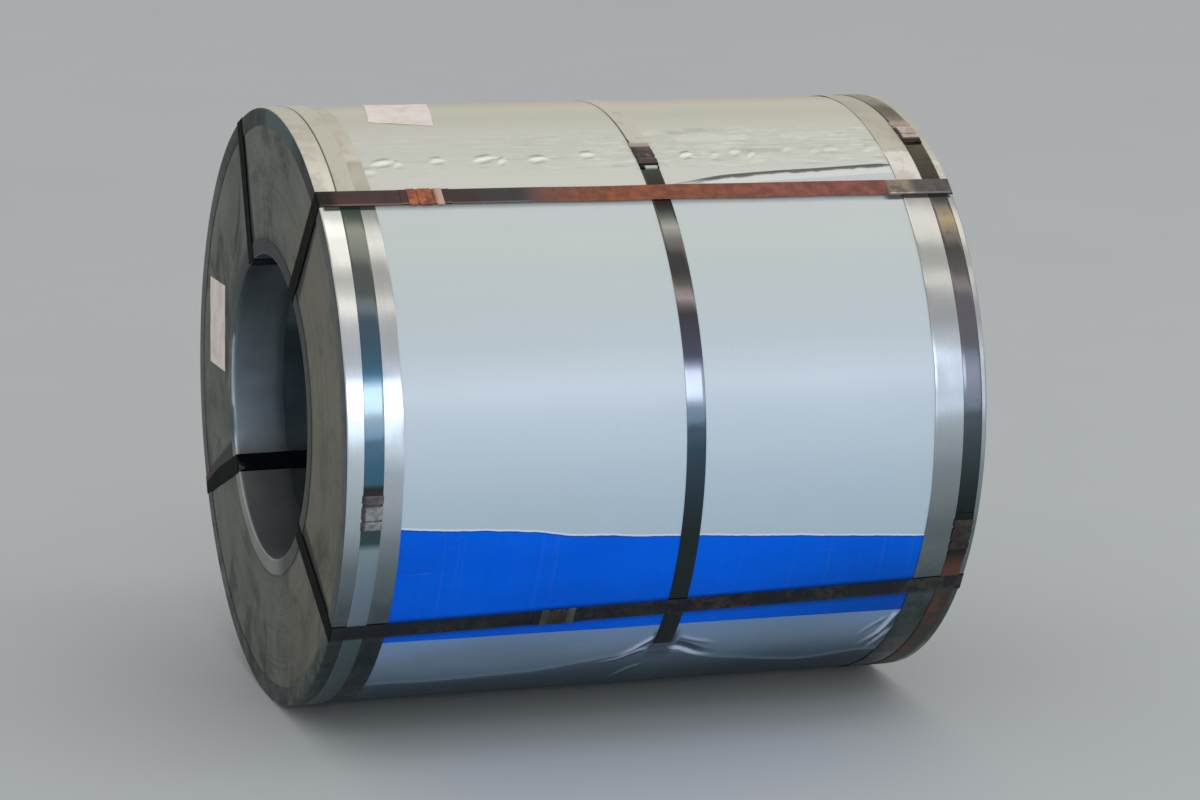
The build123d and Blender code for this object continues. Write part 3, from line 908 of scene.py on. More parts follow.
    # painted shade in the troughs of the lower folds and painted highlights on their ridges
    ridge_highlight = shade = None
    for x0, a0, x1, a1, amp, width, trough in CREASES:
        cu, cs, length = crease_frame(x0, a0, x1, a1)
        du, ds = g.sub(xw, float(x0)), g.mul(g.sub(aw, a0), -8.6)
        along = g.add(g.mul(du, cu), g.mul(ds, cs))
        across = g.add(g.sub(g.mul(ds, cu), g.mul(du, cs)), g.mul(g.m("SINE", g.add(g.mul(along, 1 / 17.0), float(x0))), 2.5))
        reach = g.mul(g.mul(g.step(along, -6.0, 8.0), g.step(along, length + 12, length * 0.45)), min(1.0, amp / 4.0))
        r1 = g.mul(reach, g.band(across, -0.45 * width, 0.45 * width, 0.7 * width))
        far = trough * 1.8 * width
        r2 = g.mul(reach, g.band(across, far - 0.5 * width, far + 0.5 * width, 0.7 * width))
        ridge_highlight = r1 if ridge_highlight is None else g.mx(ridge_highlight, r1)
        shade = r2 if shade is None else g.mx(shade, r2)
    # shade in the pinch, either side of the strap
    off_strap = g.m("ABSOLUTE", g.sub(xw, float(body_x("middle", 133.0))))
    shade = g.mx(shade, g.mul(g.mul(g.step(off_strap, 27.0, 18.0), g.step(aw, 128.5, 132.0)), g.mul(g.step(aw, 141.0, 134.8), 0.9)))
    # painted shade below the long fold line and a painted highlight just above it
    below = g.add(g.sub(aw, g.curve(xw, FOLD)), g.mul(wob, 1.5))
    col = g.mix(g.mul(g.mul(g.step(below, -0.2, 0.5), g.step(ang, 162.0, 148.0)), 0.42), col, srgb(46, 54, 56))
    col = g.mix(g.mul(g.mul(g.step(below, -2.2, -0.6), g.step(below, 0.3, -0.3)), 0.30), col, srgb(150, 162, 176))
    col = g.mix(g.mul(shade, 0.80), col, srgb(38, 46, 50))
    col = g.mix(g.mul(ridge_highlight, 0.80), col, srgb(205, 214, 236))
    # painted shade under the free edge where no strap covers it, and a paler strip beside it
    off = g.sub(ang, lap)
    free = g.mul(g.step(x, 78.0, 128.0), g.step(x, 456.0, 440.0))
    col = g.mix(g.mul(g.mul(g.band(off, 0.9, 2.2, 0.5), free), 0.55), col, srgb(226, 226, 214))
    thick = g.step(g.noise(g.vec(g.mul(x, 0.03), 0.0, 5.0), 1.0, 2, 0.5), 0.35, 0.65, 0.55, 0.95)
    col = g.mix(g.mul(g.mul(g.step(off, -0.15, 0.10), g.step(g.sub(off, thick), 0.30, -0.35)), g.mul(free, 0.9)), col, srgb(70, 76, 72))
    # shade beside the long strap's lower edge
    past = g.sub(aw, g.add(37.0, g.mul(xw, 0.00112)))
    col = g.mix(g.mul(g.mul(g.step(past, 1.5, 1.9), g.step(past, 3.3, 2.1)), 0.55), col, srgb(78, 104, 102))
    col = g.mix(g.mul(g.mul(g.step(past, 1.7, 2.0), g.step(past, 3.1, 2.7)), g.mul(g.step(xw, 408.0, 424.0), 0.9)), col, srgb(22, 20, 22))
    # painted shade either side of the lower front strap
    low_past = g.sub(aw, g.add(122.1, g.mul(xw, -0.00335)))
    col = g.mix(g.mul(g.mul(g.step(low_past, 1.5, 1.9), g.step(low_past, 3.9, 2.0)), 0.5), col, srgb(22, 40, 58))
    col = g.mix(g.mul(g.mul(g.step(low_past, -1.5, -1.9), g.step(low_past, -2.9, -1.9)), 0.4), col, srgb(16, 34, 62))
    # dirt on the floor side, specks
    dirt = g.mul(g.step(aw, 140.0, 172.0), g.step(g.noise(g.scale(p, (6, 9, 9)), 1.0, 5, 0.65), 0.25, 0.7))
    col = g.mix(g.mul(dirt, 0.45), col, srgb(70, 78, 78))
    speck = g.step(g.noise(p, 140, 2, 0.5), 0.70, 0.78)
    col = g.mix(g.mul(speck, 0.12), col, srgb(120, 120, 112))
    rough = g.add(0.36, g.mul(g.noise(g.scale(p, (7, 16, 16)), 1.0, 4, 0.6), 0.12))
    rough = g.mixf(over, rough, 0.5)
    fine = g.noise(p, 420, 2, 0.5)
    broad = g.noise(g.vec(g.mul(x, 0.02), g.mul(ang, 0.08), 1.0), 1.0, 3, 0.5)
    n1 = g.bump(broad, 0.35, 0.0018)
    n2 = g.bump(fine, 0.06, 0.0004, n1)
    spec = g.mixf(g.mx(blue_mask, under), 0.5, 0.06)
    return g.set(color=col, rough=rough, metal=0.0, normal=n2, spec=spec)


def galvanised(name):
    """Zinc-coated ring over an outside edge: painted reflection bands on the body, a painted warm sheen with dust on
    top, dull and painted dark on the end, and a painted dark floor reflection with grime low down.
    """
    g = Graph(name)
    x, ang, rad = g.polar()
    p = g.pos
    turn = g.m("ABSOLUTE", ang)
    spangle = g.xyz(g.cells(g.scale(p, (70, 70, 70)), 1.0)[1])[0]
    patch = g.noise(g.scale(p, (9, 9, 9)), 1.0, 4, 0.6)
    blot = g.noise(g.scale(p, (26, 26, 26)), 1.0, 5, 0.65)
    # brightness by angle for each ring edge: painted reflection bands of the lights round about, falling dark low down
    # as a painted reflection of the dark floor, with a painted warm-to-cool tint
    level = g.curve(turn, ((34, 0.60), (50, 0.54), (60, 0.55), (80, 0.60), (84, 0.86), (91, 0.86), (100, 0.66), (108, 0.33), (116, 0.26), (121, 0.22), (124, 0.10), (180, 0.08)))
    right = g.curve(turn, ((39, 0.70), (52, 0.72), (55, 0.84), (57, 1.05), (60, 0.70), (66, 0.74), (69, 0.93), (72, 0.90), (75, 0.65), (90, 0.61), (94, 0.54), (101, 0.60), (106, 0.68), (111, 0.96), (118, 1.0), (126, 1.4), (133, 0.95), (142, 0.8), (152, 0.7), (180, 0.65)))
    left_out = g.curve(turn, ((39, 1.2), (43, 1.2), (46, 0.90), (49, 0.97), (51, 1.25), (54, 1.0), (57, 1.12), (61, 1.15), (64, 1.0), (72, 0.76), (76, 1.0), (87, 0.86), (100, 1.0), (140, 0.9), (150, 0.65), (180, 0.6)))
    left_in = g.curve(turn, ((39, 0.55), (43, 0.66), (47, 0.80), (51, 0.65), (54, 0.78), (58, 0.90), (66, 0.84), (70, 0.90), (72, 0.64), (75, 1.0), (86, 0.92), (90, 0.76), (96, 0.88), (103, 0.78), (108, 0.95), (180, 0.9)))
    level = g.mul(level, g.mixf(g.step(x, -10.0, 10.0), g.mixf(g.step(x, -492.0, -486.0), left_out, left_in), right))
    col = g.mix(1.0, g.vec(level, level, level), g.ramp(turn, ((58, (1.0, 0.99, 0.94)), (68, (0.94, 0.99, 1.06)), (95, (0.91, 1.0, 1.08)), (115, (0.80, 1.0, 1.04)))), "MULTIPLY")
    col = g.mix(g.mul(spangle, 0.10), col, g.mix(1.0, col, (0.78, 0.78, 0.80), "MULTIPLY"))
    lines = g.noise(g.vec(g.mul(x, 1.9), g.mul(ang, 0.004), g.mul(rad, 0.6)), 1.0, 4, 0.7)
    col = g.mix(g.mul(g.step(lines, 0.5, 0.75), 0.5), col, g.mix(1.0, col, (0.70, 0.71, 0.73), "MULTIPLY"))
    # warm beige over the top: a painted reflection of warm light from above, with dust blots
    top = g.mul(g.step(ang, 40.0, 34.0), g.step(ang, -60.0, -30.0))
    dust_and_warm_sheen = g.ramp(ang, ((8, srgb(188, 181, 162)), (24, srgb(206, 199, 181)), (31, srgb(222, 216, 198))))
    dust_and_warm_sheen = g.mix(g.mul(g.step(blot, 0.42, 0.62), 0.55), dust_and_warm_sheen, srgb(172, 162, 146))
    patch_r = g.mul(g.mul(g.step(x, 0.0, 10.0), g.step(x, 507.0, 505.0)), g.mul(g.step(ang, 27.2, 27.6), g.step(ang, 35.6, 35.2)))
    dust_and_warm_sheen = g.mix(g.mul(g.mul(g.step(x, 0.0, 10.0), g.step(ang, 27.4, 26.8)), 0.35), dust_and_warm_sheen, srgb(158, 150, 132))
    dust_and_warm_sheen = g.mix(g.mul(patch_r, 0.85), dust_and_warm_sheen, g.mix(g.step(blot, 0.45, 0.62), srgb(226, 218, 206), srgb(206, 192, 184)))
    dust_and_warm_sheen = g.mix(g.mul(g.mul(g.step(x, -485.0, -475.0), g.step(x, -300.0, -440.0)), g.mul(g.step(ang, 25.0, 27.0), 0.6)), dust_and_warm_sheen, srgb(158, 152, 134))
    col = g.mix(g.mul(top, 0.95), col, dust_and_warm_sheen)
    metal = g.sub(1.0, g.mul(top, 0.85))
    # shade where the long straps stand off the ring's edges
    past = g.sub(ang, g.add(37.0, g.mul(x, 0.00112)))
    stand = g.mx(g.mul(g.step(x, 415.0, 425.0), g.step(x, 533.0, 527.0)), g.mul(g.step(x, -533.0, -527.0), g.step(x, -428.0, -440.0)))
    under = g.mul(g.mul(g.step(past, 1.6, 1.8), g.step(past, 3.1, 2.6)), g.mul(stand, 0.92))
    low_past = g.sub(ang, g.add(122.1, g.mul(x, -0.00335)))
    under = g.mx(under, g.mul(g.mul(g.step(low_past, 1.5, 1.8), g.step(low_past, 3.4, 2.4)), 0.6))
    col = g.mix(under, col, (0.012, 0.013, 0.013))
    metal = g.mul(metal, g.sub(1.0, under))
    # dark teal blots low down: grime, and a painted reflection of the dark floor
    grime_and_floor_reflection = g.mul(g.step(turn, 106.0, 130.0), g.step(blot, 0.35, 0.65))
    col = g.mix(g.mul(grime_and_floor_reflection, 0.6), col, (0.022, 0.040, 0.042))
    # the leg on the end face is dull, and painted dark as a reflection of the dark surroundings, paler over its top
    on_end = g.mul(g.step(g.m("ABSOLUTE", x), 534.6, 535.6), g.step(rad, 492.2, 491.0))
    leg = g.mix(g.step(blot, 0.35, 0.65), (0.062, 0.072, 0.068), (0.022, 0.030, 0.029))
    leg = g.mix(g.mul(g.step(ang, -8.0, -2.0), g.step(ang, 22.0, 12.0)), leg, (0.09, 0.125, 0.125))
    col = g.mix(on_end, col, leg)
    metal = g.mixf(on_end, metal, 0.7)
    r = g.add(g.add(0.17, g.mul(patch, 0.06)), g.add(g.mul(grime_and_floor_reflection, 0.15), g.add(g.mul(top, 0.25), g.mul(on_end, 0.16))))
    n = g.bump(lines, 0.08, 0.0004)
    n = g.bump(patch, 0.08, 0.0010, n)
    return g.set(color=col, rough=g.mixf(under, r, 0.6), metal=metal, normal=n, spec=g.mixf(under, 0.5, 0.03))


def bore_ring(name):
    g = Graph(name)
    x, ang, rad = g.polar()
    p = g.pos
    blot = g.noise(g.scale(p, (22, 22, 22)), 1.0, 5, 0.65)
    wide = g.noise(g.scale(p, (6, 6, 6)), 1.0, 3, 0.6)
    lines = g.noise(g.vec(g.mul(x, 1.2), g.mul(ang, 0.01), g.mul(rad, 0.6)), 1.0, 4, 0.7)
    col = g.mix(g.step(wide, 0.35, 0.65), (0.74, 0.84, 0.92), (0.48, 0.57, 0.64))
    col = g.mix(g.mul(g.step(lines, 0.5, 0.75), 0.4), col, (0.20, 0.25, 0.28))
    on_end = g.mul(g.step(g.m("ABSOLUTE", x), 534.6, 535.6), g.step(rad, 253.0, 254.5))
    leg = g.mix(g.step(blot, 0.3, 0.65), (0.165, 0.17, 0.15), (0.07, 0.075, 0.068))
    # painted highlight on the bore edge's rounded corner low at the rear, painted shade on the rest of that corner
    rim_highlight = g.mx(g.band(ang, -160.0, -118.0, 8.0), g.band(ang, -100.0, -76.0, 4.0))
    leg = g.mix(g.mul(g.step(ang, -72.0, -52.0), g.step(ang, 150.0, 132.0)), leg, g.mix(blot, (0.020, 0.022, 0.022), (0.045, 0.048, 0.045)))
    leg = g.mix(g.mul(g.step(rad, 259.0, 254.5), rim_highlight), leg, (0.50, 0.52, 0.50))
    col = g.mix(on_end, col, leg)
    rim = g.mul(g.step(g.m("ABSOLUTE", x), 532.6, 533.6), g.sub(1.0, g.mul(rim_highlight, 0.9)))
    col = g.mix(g.mul(rim, 0.75), col, (0.05, 0.06, 0.06))
    low = g.mx(g.step(ang, 150.0, 172.0), g.step(ang, -112.0, -126.0))
    col = g.mix(g.mul(low, 0.85), col, g.mix(blot, (0.34, 0.34, 0.31), (0.17, 0.18, 0.165)))
    # painted shadow over the top of the bore near the left end
    arch_shadow = g.mul(g.mul(g.step(ang, -75.0, -35.0), g.step(ang, 75.0, 35.0)), g.step(x, -450.0, -530.0))
    col = g.mix(g.mul(arch_shadow, 0.7), col, (0.02, 0.022, 0.024))
    deep = g.mul(g.step(x, -470.0, -444.0), g.step(x, 470.0, 444.0))
    col = g.mix(g.mul(deep, 0.6), col, (0.22, 0.27, 0.29))
    n = g.bump(lines, 0.08, 0.0004)
    return g.set(color=col, rough=g.add(0.26, g.mul(g.mx(on_end, blot), 0.20)), metal=g.mixf(on_end, 0.9, 0.2), normal=n, spec=g.mixf(on_end, 0.5, 0.15))


def mat_disc():
    g = Graph("disc_dull_sheet")
    x, ang, rad = g.polar()
    p = g.pos
    a = g.noise(g.scale(p, (5, 5, 5)), 1.0, 5, 0.6)
    col = g.mix(g.step(a, 0.3, 0.7), srgb(110, 113, 104), srgb(92, 97, 90))
    # browner towards the front
    col = g.mix(g.mul(g.band(ang, 40.0, 140.0, 25.0), 0.5), col, srgb(122, 112, 96))
    arcs = g.noise(g.vec(g.mul(rad, 0.30), g.mul(ang, 0.020), 2.0), 1.0, 5, 0.75, 0.4)
    col = g.mix(g.mul(g.step(arcs, 0.50, 0.66), 0.65), col, srgb(58, 62, 56))
    light = g.noise(g.vec(g.mul(rad, 0.8), g.mul(ang, 0.03), 9.0), 1.0, 3, 0.6)
    col = g.mix(g.mul(g.step(light, 0.60, 0.70), 0.35), col, srgb(142, 144, 134))
    smear = g.noise(g.scale(p, (10, 6, 6)), 1.0, 6, 0.72, 0.8)
    col = g.mix(g.mul(g.step(smear, 0.50, 0.66), 0.70), col, srgb(50, 53, 48))
    rust = g.step(g.noise(g.scale(p, (24, 24, 24)), 1.0, 4, 0.6), 0.62, 0.76)
    col = g.mix(g.mul(rust, 0.40), col, srgb(104, 74, 54))
    col = g.mix(g.mul(g.step(rad, 466.0, 474.0), 0.55), col, srgb(44, 50, 46))
    col = g.mix(g.mul(g.step(rad, 288.0, 282.0), 0.35), col, srgb(52, 56, 52))
    stain = g.noise(g.scale(p, (7, 7, 4)), 1.0, 5, 0.70, 1.1)
    col = g.mix(g.mul(g.mul(g.step(stain, 0.50, 0.64), g.step(ang, 70.0, 20.0, 0.35, 1.0)), 0.75), col, srgb(40, 44, 40))
    # painted shadow beside the straps where they stand off the end face
    strap_shadow_band = None
    for at in (36.4, 123.9, -119.0, -26.0):
        turn = g.m("ABSOLUTE", g.mul(g.mul(g.sub(ang, at), rad), math.pi / 180))
        band = g.step(turn, 27.0, 17.0)
        strap_shadow_band = band if strap_shadow_band is None else g.mx(strap_shadow_band, band)
    strap_shadow_band = g.mul(strap_shadow_band, g.step(x, 0.0, -10.0, 0.3, 0.92))
    col = g.mix(strap_shadow_band, col, (0.008, 0.009, 0.009))
    rough = g.add(0.42, g.mul(a, 0.2))
    n = g.bump(arcs, 0.25, 0.0006)
    n = g.bump(smear, 0.15, 0.0008, n)
    return g.set(color=col, rough=rough, metal=0.45, normal=n, spec=0.3)


def mat_strap(name, kind):
    """Dark blued strap; the body straps' colour by angle holds painted reflection bands and glints. kind says where
    dust with a painted warm sheen, bare steel and rust lie.
    """
    g = Graph(name)
    x, ang, rad = g.polar()
    p = g.pos
    fleck = g.noise(g.scale(p, (60, 60, 60)), 1.0, 4, 0.65)
    n_big = g.noise(g.scale(p, (7, 7, 7)), 1.0, 4, 0.6)
    vary = g.step(g.noise(g.scale(p, (12, 12, 12)), 1.0, 3, 0.6), 0.35, 0.65)
    rustcol = g.mix(fleck, srgb(142, 84, 66), srgb(96, 54, 42))
    dust_and_warm_sheen = None
    # colour by angle: painted reflection bands of the lights round about, with a painted glint near 72 to 84 degrees
    if kind == "left":
        dark = g.ramp(ang, ((30, (0.055, 0.058, 0.055)), (39, (0.035, 0.07, 0.045)), (44, (0.15, 0.16, 0.13)), (50, (0.10, 0.105, 0.095)), (56, (0.10, 0.11, 0.105)), (62, (0.07, 0.105, 0.13)), (66, (0.062, 0.11, 0.155)), (71.8, (0.06, 0.145, 0.215)), (74.5, (0.20, 0.26, 0.285)), (80, (0.20, 0.25, 0.28)), (83.5, (0.12, 0.215, 0.30)), (88, (0.075, 0.18, 0.28)), (91.5, (0.07, 0.18, 0.26)), (92.3, (0.05, 0.045, 0.05)), (103.0, (0.07, 0.12, 0.12)), (104.5, (0.36, 0.47, 0.50)), (112, (0.28, 0.37, 0.45)), (121.0, (0.26, 0.32, 0.38)), (123.0, (0.13, 0.20, 0.21)), (150, (0.12, 0.17, 0.18))))
        dust_and_warm_sheen = g.mul(g.step(ang, 35.6, 34.4), g.step(ang, -60.0, -40.0))
        dust_and_sheen_colour = srgb(196, 190, 172)
        rust = g.mul(g.step(fleck, 0.64, 0.76), 0.25)
    elif kind == "middle":
        dark = g.ramp(ang, ((30, (0.075, 0.08, 0.065)), (39.2, (0.03, 0.012, 0.014)), (41, (0.04, 0.045, 0.04)), (43, (0.08, 0.085, 0.075)), (45.2, (0.20, 0.20, 0.175)), (48, (0.095, 0.09, 0.085)), (51, (0.058, 0.056, 0.055)), (55, (0.065, 0.06, 0.062)), (57.5, (0.12, 0.11, 0.10)), (60, (0.22, 0.18, 0.18)), (63, (0.065, 0.06, 0.07)), (71, (0.085, 0.09, 0.13)), (73.5, (0.22, 0.23, 0.29)), (79, (0.24, 0.26, 0.29)), (80.5, (0.13, 0.17, 0.21)), (88, (0.06, 0.10, 0.14)), (104, (0.035, 0.05, 0.05))))
        dust_and_warm_sheen = g.mul(g.step(ang, 23.5, 22.5), g.step(ang, -60.0, -40.0))
        dust_and_sheen_colour = srgb(200, 195, 178)
        rust = g.mul(g.step(fleck, 0.62, 0.75), g.step(ang, 60.0, 130.0, 0.1, 0.5))
    elif kind == "right":
        dark = g.ramp(ang, ((14, (0.055, 0.058, 0.055)), (24, (0.12, 0.11, 0.065)), (39.5, (0.05, 0.045, 0.04)), (42, (0.11, 0.10, 0.085)), (45.5, (0.23, 0.18, 0.11)), (49, (0.11, 0.095, 0.08)), (52, (0.085, 0.08, 0.075)), (56, (0.12, 0.11, 0.105)), (64, (0.15, 0.13, 0.15)), (73, (0.13, 0.135, 0.155)), (76, (0.165, 0.17, 0.195)), (80, (0.14, 0.15, 0.175)), (88, (0.08, 0.11, 0.12)), (96, (0.045, 0.065, 0.07)), (104, (0.02, 0.03, 0.03))))
        dust_and_warm_sheen = g.mul(g.step(ang, 23.2, 22.6), g.step(ang, -60.0, -20.0))
        dust_and_sheen_colour = g.ramp(ang, ((4, srgb(146, 138, 122)), (10, srgb(94, 82, 64)), (14, srgb(108, 98, 80)), (18, srgb(172, 156, 136))))
        low = g.mul(g.step(ang, 111.0, 118.0), g.step(ang, 176.0, 170.0))
        rust = g.mx(g.mul(low, g.step(n_big, 0.25, 0.5, 0.45, 0.95)), g.mul(g.step(fleck, 0.55, 0.75), 0.35))
        rustcol = g.mix(g.step(n_big, 0.50, 0.58), g.mix(fleck, srgb(58, 51, 40), srgb(44, 40, 34)), g.mix(fleck, srgb(112, 62, 40), srgb(72, 44, 36)))
    elif kind == "top_front":
        dark = g.mix(vary, (0.075, 0.055, 0.052), (0.105, 0.062, 0.056))
        dark = g.mix(g.step(x, -300.0, -240.0), dark, (0.072, 0.066, 0.068))
        dark = g.mix(g.step(x, -495.0, -522.0), dark, (0.030, 0.026, 0.022))
        outside = g.step(rad, 485.0, 490.0)
        rust = g.mul(g.mul(g.step(x, -215.0, -150.0), g.step(x, 428.0, 421.0)), g.mul(outside, g.step(n_big, 0.15, 0.4, 0.75, 1.0)))
        rust = g.mx(rust, g.mul(g.step(fleck, 0.58, 0.75), 0.4))
        rustcol = g.mix(g.step(fleck, 0.3, 0.7), g.ramp(x, ((-180, srgb(108, 72, 60)), (-60, srgb(150, 78, 40)), (120, srgb(144, 76, 44)), (250, srgb(142, 78, 66)))), srgb(104, 56, 38))
        bare = g.mul(g.step(x, 421.0, 428.0), outside)
        bare_col = g.mix(g.step(x, 458.0, 476.0), srgb(176, 160, 138), srgb(112, 104, 104))
        dark = g.mix(g.mul(bare, 0.95), dark, g.mix(g.mul(fleck, 0.5), bare_col, srgb(96, 88, 84)))
        rust = g.mul(rust, g.sub(1.0, g.mul(bare, 0.9)))
    else:
        dark = g.mix(vary, (0.028, 0.042, 0.045), (0.034, 0.032, 0.044))
        rust = g.mul(g.mul(g.step(n_big, 0.40, 0.55), g.step(fleck, 0.35, 0.7)), g.step(x, -60.0, 120.0, 0.5, 0.9))
        rustcol = g.mix(g.band(x, 95.0, 185.0, 25.0), g.mix(fleck, srgb(66, 60, 38), srgb(52, 46, 34)), g.mix(fleck, srgb(96, 64, 58), srgb(68, 50, 46)))
    spec = 0.5
    # black on the end faces: painted shade of the strap's shadowed side and the gap under it
    on_end = g.step(g.m("ABSOLUTE", x), 534.5, 535.8)
    col = g.mix(rust, dark, rustcol)
    metal = g.sub(0.9, g.mul(rust, 0.8))
    rough = g.add(g.mul(g.noise(g.scale(p, (30, 30, 30)), 1.0, 3, 0.6), 0.08), g.mixf(rust, 0.09, 0.55))
    # pale over the top: a painted reflection of warm light from above, with dust blots
    if dust_and_warm_sheen is not None:
        blot = g.noise(g.scale(p, (30, 30, 30)), 1.0, 4, 0.6)
        col = g.mix(g.mul(dust_and_warm_sheen, 0.95), col, g.mix(g.mul(g.step(blot, 0.5, 0.7), 0.3), dust_and_sheen_colour, srgb(150, 142, 124)))
        metal = g.mul(metal, g.sub(1.0, g.mul(dust_and_warm_sheen, 0.95)))
        rough = g.mixf(dust_and_warm_sheen, rough, 0.55)
    if kind in ("left", "middle", "right"):
        mean, swing_top, swing_front = BODY[kind]
        rad_ang = g.mul(ang, math.pi / 180)
        centre = g.add(g.add(g.mul(g.m("COSINE", rad_ang), swing_top), g.mul(g.m("SINE", rad_ang), swing_front)), mean)
        side = g.sub(x, centre)
        # painted shadow line along the strap's left edge
        line = g.mul(g.step(side, -13.2, -14.4), g.mul(g.step(ang, -10.0, 12.0), g.step(ang, 60.0, 34.0)))
        col = g.mix(g.mul(line, 0.85), col, (0.02, 0.02, 0.016))
        metal = g.mul(metal, g.sub(1.0, line))
    else:
        col = g.mix(on_end, col, g.mix(g.step(fleck, 0.50, 0.75), (0.005, 0.006, 0.006), (0.022, 0.014, 0.011)))
        metal = g.mixf(on_end, metal, 0.0)
        rough = g.mixf(on_end, rough, 0.6)
        spec = g.mixf(on_end, 0.5, 0.03)
    if kind == "bottom_rear":
        # its upper edge is browner
        over = g.mul(g.mul(g.add(ang, 119.0), rad), math.pi / 180)
        brown = g.mul(g.mul(g.step(over, 1.0, 8.0), g.step(ang, -60.0, -90.0)), g.mul(on_end, g.step(ang, -160.0, -130.0)))
        col = g.mix(g.mul(brown, 0.9), col, g.mix(fleck, srgb(112, 86, 80), srgb(78, 62, 60)))
    if kind == "middle":
        # painted shadow under the seal's end and a painted highlight on the raised tail end
        gap_shadow = g.mul(g.step(ang, 28.9, 29.15), g.step(ang, 30.0, 29.75))
        end = g.mul(g.step(ang, 29.75, 30.0), g.step(ang, 30.85, 30.75))
        tail_highlight = g.mul(end, g.band(side, -7.0, 11.0, 3.0))
        col = g.mix(g.mul(g.mx(gap_shadow, end), 0.97), col, g.mix(tail_highlight, (0.008, 0.008, 0.008), srgb(186, 190, 180)))
        metal = g.mul(metal, g.sub(1.0, g.mx(gap_shadow, end)))
        rough = g.mixf(g.mx(gap_shadow, end), rough, 0.5)
        spec = g.mixf(g.mx(gap_shadow, end), 0.5, 0.03)
    if kind == "right":
        # painted shadow under the upper seal's end
        gap_shadow = g.mul(g.step(ang, 22.9, 23.2), g.step(ang, 25.2, 24.9))
        col = g.mix(g.mul(gap_shadow, 0.98), col, (0.006, 0.005, 0.004))
        metal = g.mul(metal, g.sub(1.0, gap_shadow))
        rough = g.mixf(gap_shadow, rough, 0.6)
        spec = g.mixf(gap_shadow, 0.5, 0.02)
        mottle = g.step(g.noise(g.scale(p, (46, 46, 46)), 1.0, 4, 0.7), 0.42, 0.62)
        col = g.mix(g.mul(g.mul(mottle, 0.6), g.step(ang, 40.0, 30.0)), col, srgb(74, 66, 50))
    if kind == "top_front":
        # painted shadow line along the lower edge of the bare end
        across = g.mul(g.sub(ang, g.add(37.0, g.mul(x, 0.00112))), 8.62)
        low_edge_shadow = g.mul(g.mul(g.step(across, 12.5, 14.5), g.step(x, 405.0, 425.0)), 0.6)
        col = g.mix(g.mul(low_edge_shadow, 0.9), col, (0.012, 0.010, 0.012))
        metal = g.mul(metal, g.sub(1.0, low_edge_shadow))
        mottle = g.step(g.noise(g.scale(p, (60, 60, 60)), 1.0, 4, 0.7), 0.45, 0.62)
        col = g.mix(g.mul(g.mul(mottle, 0.55), g.step(x, 421.0, 428.0)), col, srgb(84, 76, 72))
    if kind in ("left", "right"):
        # painted shadow under the long strap where it crosses
        past = g.sub(ang, g.add(37.0, g.mul(x, 0.00112)))
        under = g.mul(g.mul(g.step(past, 1.6, 1.8), g.step(past, 3.0, 2.6)), 0.9)
        col = g.mix(under, col, (0.008, 0.010, 0.009))
        metal = g.mul(metal, g.sub(1.0, under))
        rough = g.mixf(under, rough, 0.6)
        spec = g.mixf(under, spec, 0.03)
    n = g.bump(fleck, 0.10, 0.0004)
    return g.set(color=col, rough=rough, metal=metal, normal=n, spec=spec)


def mat_seal(name, tone, along, soft, centre=None):
    """Crimped seal. along gives the seal's own run: an end-to-end coordinate, -28 to 28 mm."""
    g = Graph(name)
    p = g.pos
    x, ang, rad = g.polar()
    run = along(g, x, ang)
    a = g.noise(g.scale(p, (48, 48, 48)), 1.0, 4, 0.65)
    b = g.noise(g.scale(p, (150, 150, 150)), 1.0, 3, 0.6)
    tones = {
        "rusty": (srgb(176, 98, 56), srgb(112, 58, 40), 0.25, 0.45, srgb(198, 170, 148)),
        "brown": (srgb(112, 88, 80), srgb(52, 40, 36), 0.3, 0.42, srgb(182, 160, 146)),
        "olive": (srgb(60, 54, 44), srgb(34, 31, 27), 0.3, 0.42, srgb(96, 98, 88)),
        "pink": (srgb(204, 184, 176), srgb(168, 148, 134), 0.1, 0.5, srgb(214, 198, 188)),
        "grey": (srgb(168, 170, 172), srgb(112, 112, 116), 0.55, 0.32, srgb(200, 200, 204)),
    }
    c1, c2, metal, rough, pale = tones[tone]
    col = g.mix(g.step(a, 0.35, 0.65), c1, c2)
    col = g.mix(g.mul(g.step(b, 0.55, 0.72), 0.35), col, pale)
    # pale ends: painted highlight where the seal's ends catch the light
    lo, hi = soft
    if lo:
        col = g.mix(g.mul(g.step(run, -12.0, -22.0), lo), col, pale)
    if hi:
        col = g.mix(g.mul(g.step(run, 12.0, 22.0), hi), col, pale)
    # darker bands across the crimps
    for c in (-13.0, 13.0):
        col = g.mix(g.mul(g.band(run, c - 0.8, c + 0.8, 1.6), 0.55), col, srgb(40, 34, 30))
    if centre is not None:
        # painted shadow down the left border, and across one end
        side = g.sub(x, centre)
        border_shadow = g.step(side, -9.0, -13.0)
        if tone == "grey":
            col = g.mix(g.mul(g.step(run, -8.0, -12.0), 0.85), col, g.mix(a, srgb(96, 84, 88), srgb(58, 48, 52)))
            border_shadow = g.mul(border_shadow, 0.9)
        if tone == "brown":
            border_shadow = g.mul(g.mx(border_shadow, g.mul(g.step(run, 15.0, 20.0), 0.9)), g.step(run, -16.0, -8.0))
        if tone == "pink":
            border_shadow = g.mul(g.mx(border_shadow, g.mul(g.step(run, 23.0, 26.0), 0.9)), g.step(run, -12.0, -4.0))
            col = g.mix(g.mul(g.step(run, -6.0, -16.0), 0.7), col, srgb(152, 136, 112))
        col = g.mix(border_shadow, col, g.mix(a, srgb(50, 36, 38), srgb(30, 22, 22)))
        metal = g.mul(g.sub(1.0, border_shadow), metal)
    n = g.bump(b, 0.2, 0.0004)
    return g.set(color=col, rough=g.add(rough, g.mul(a, 0.12)), metal=metal, normal=n)


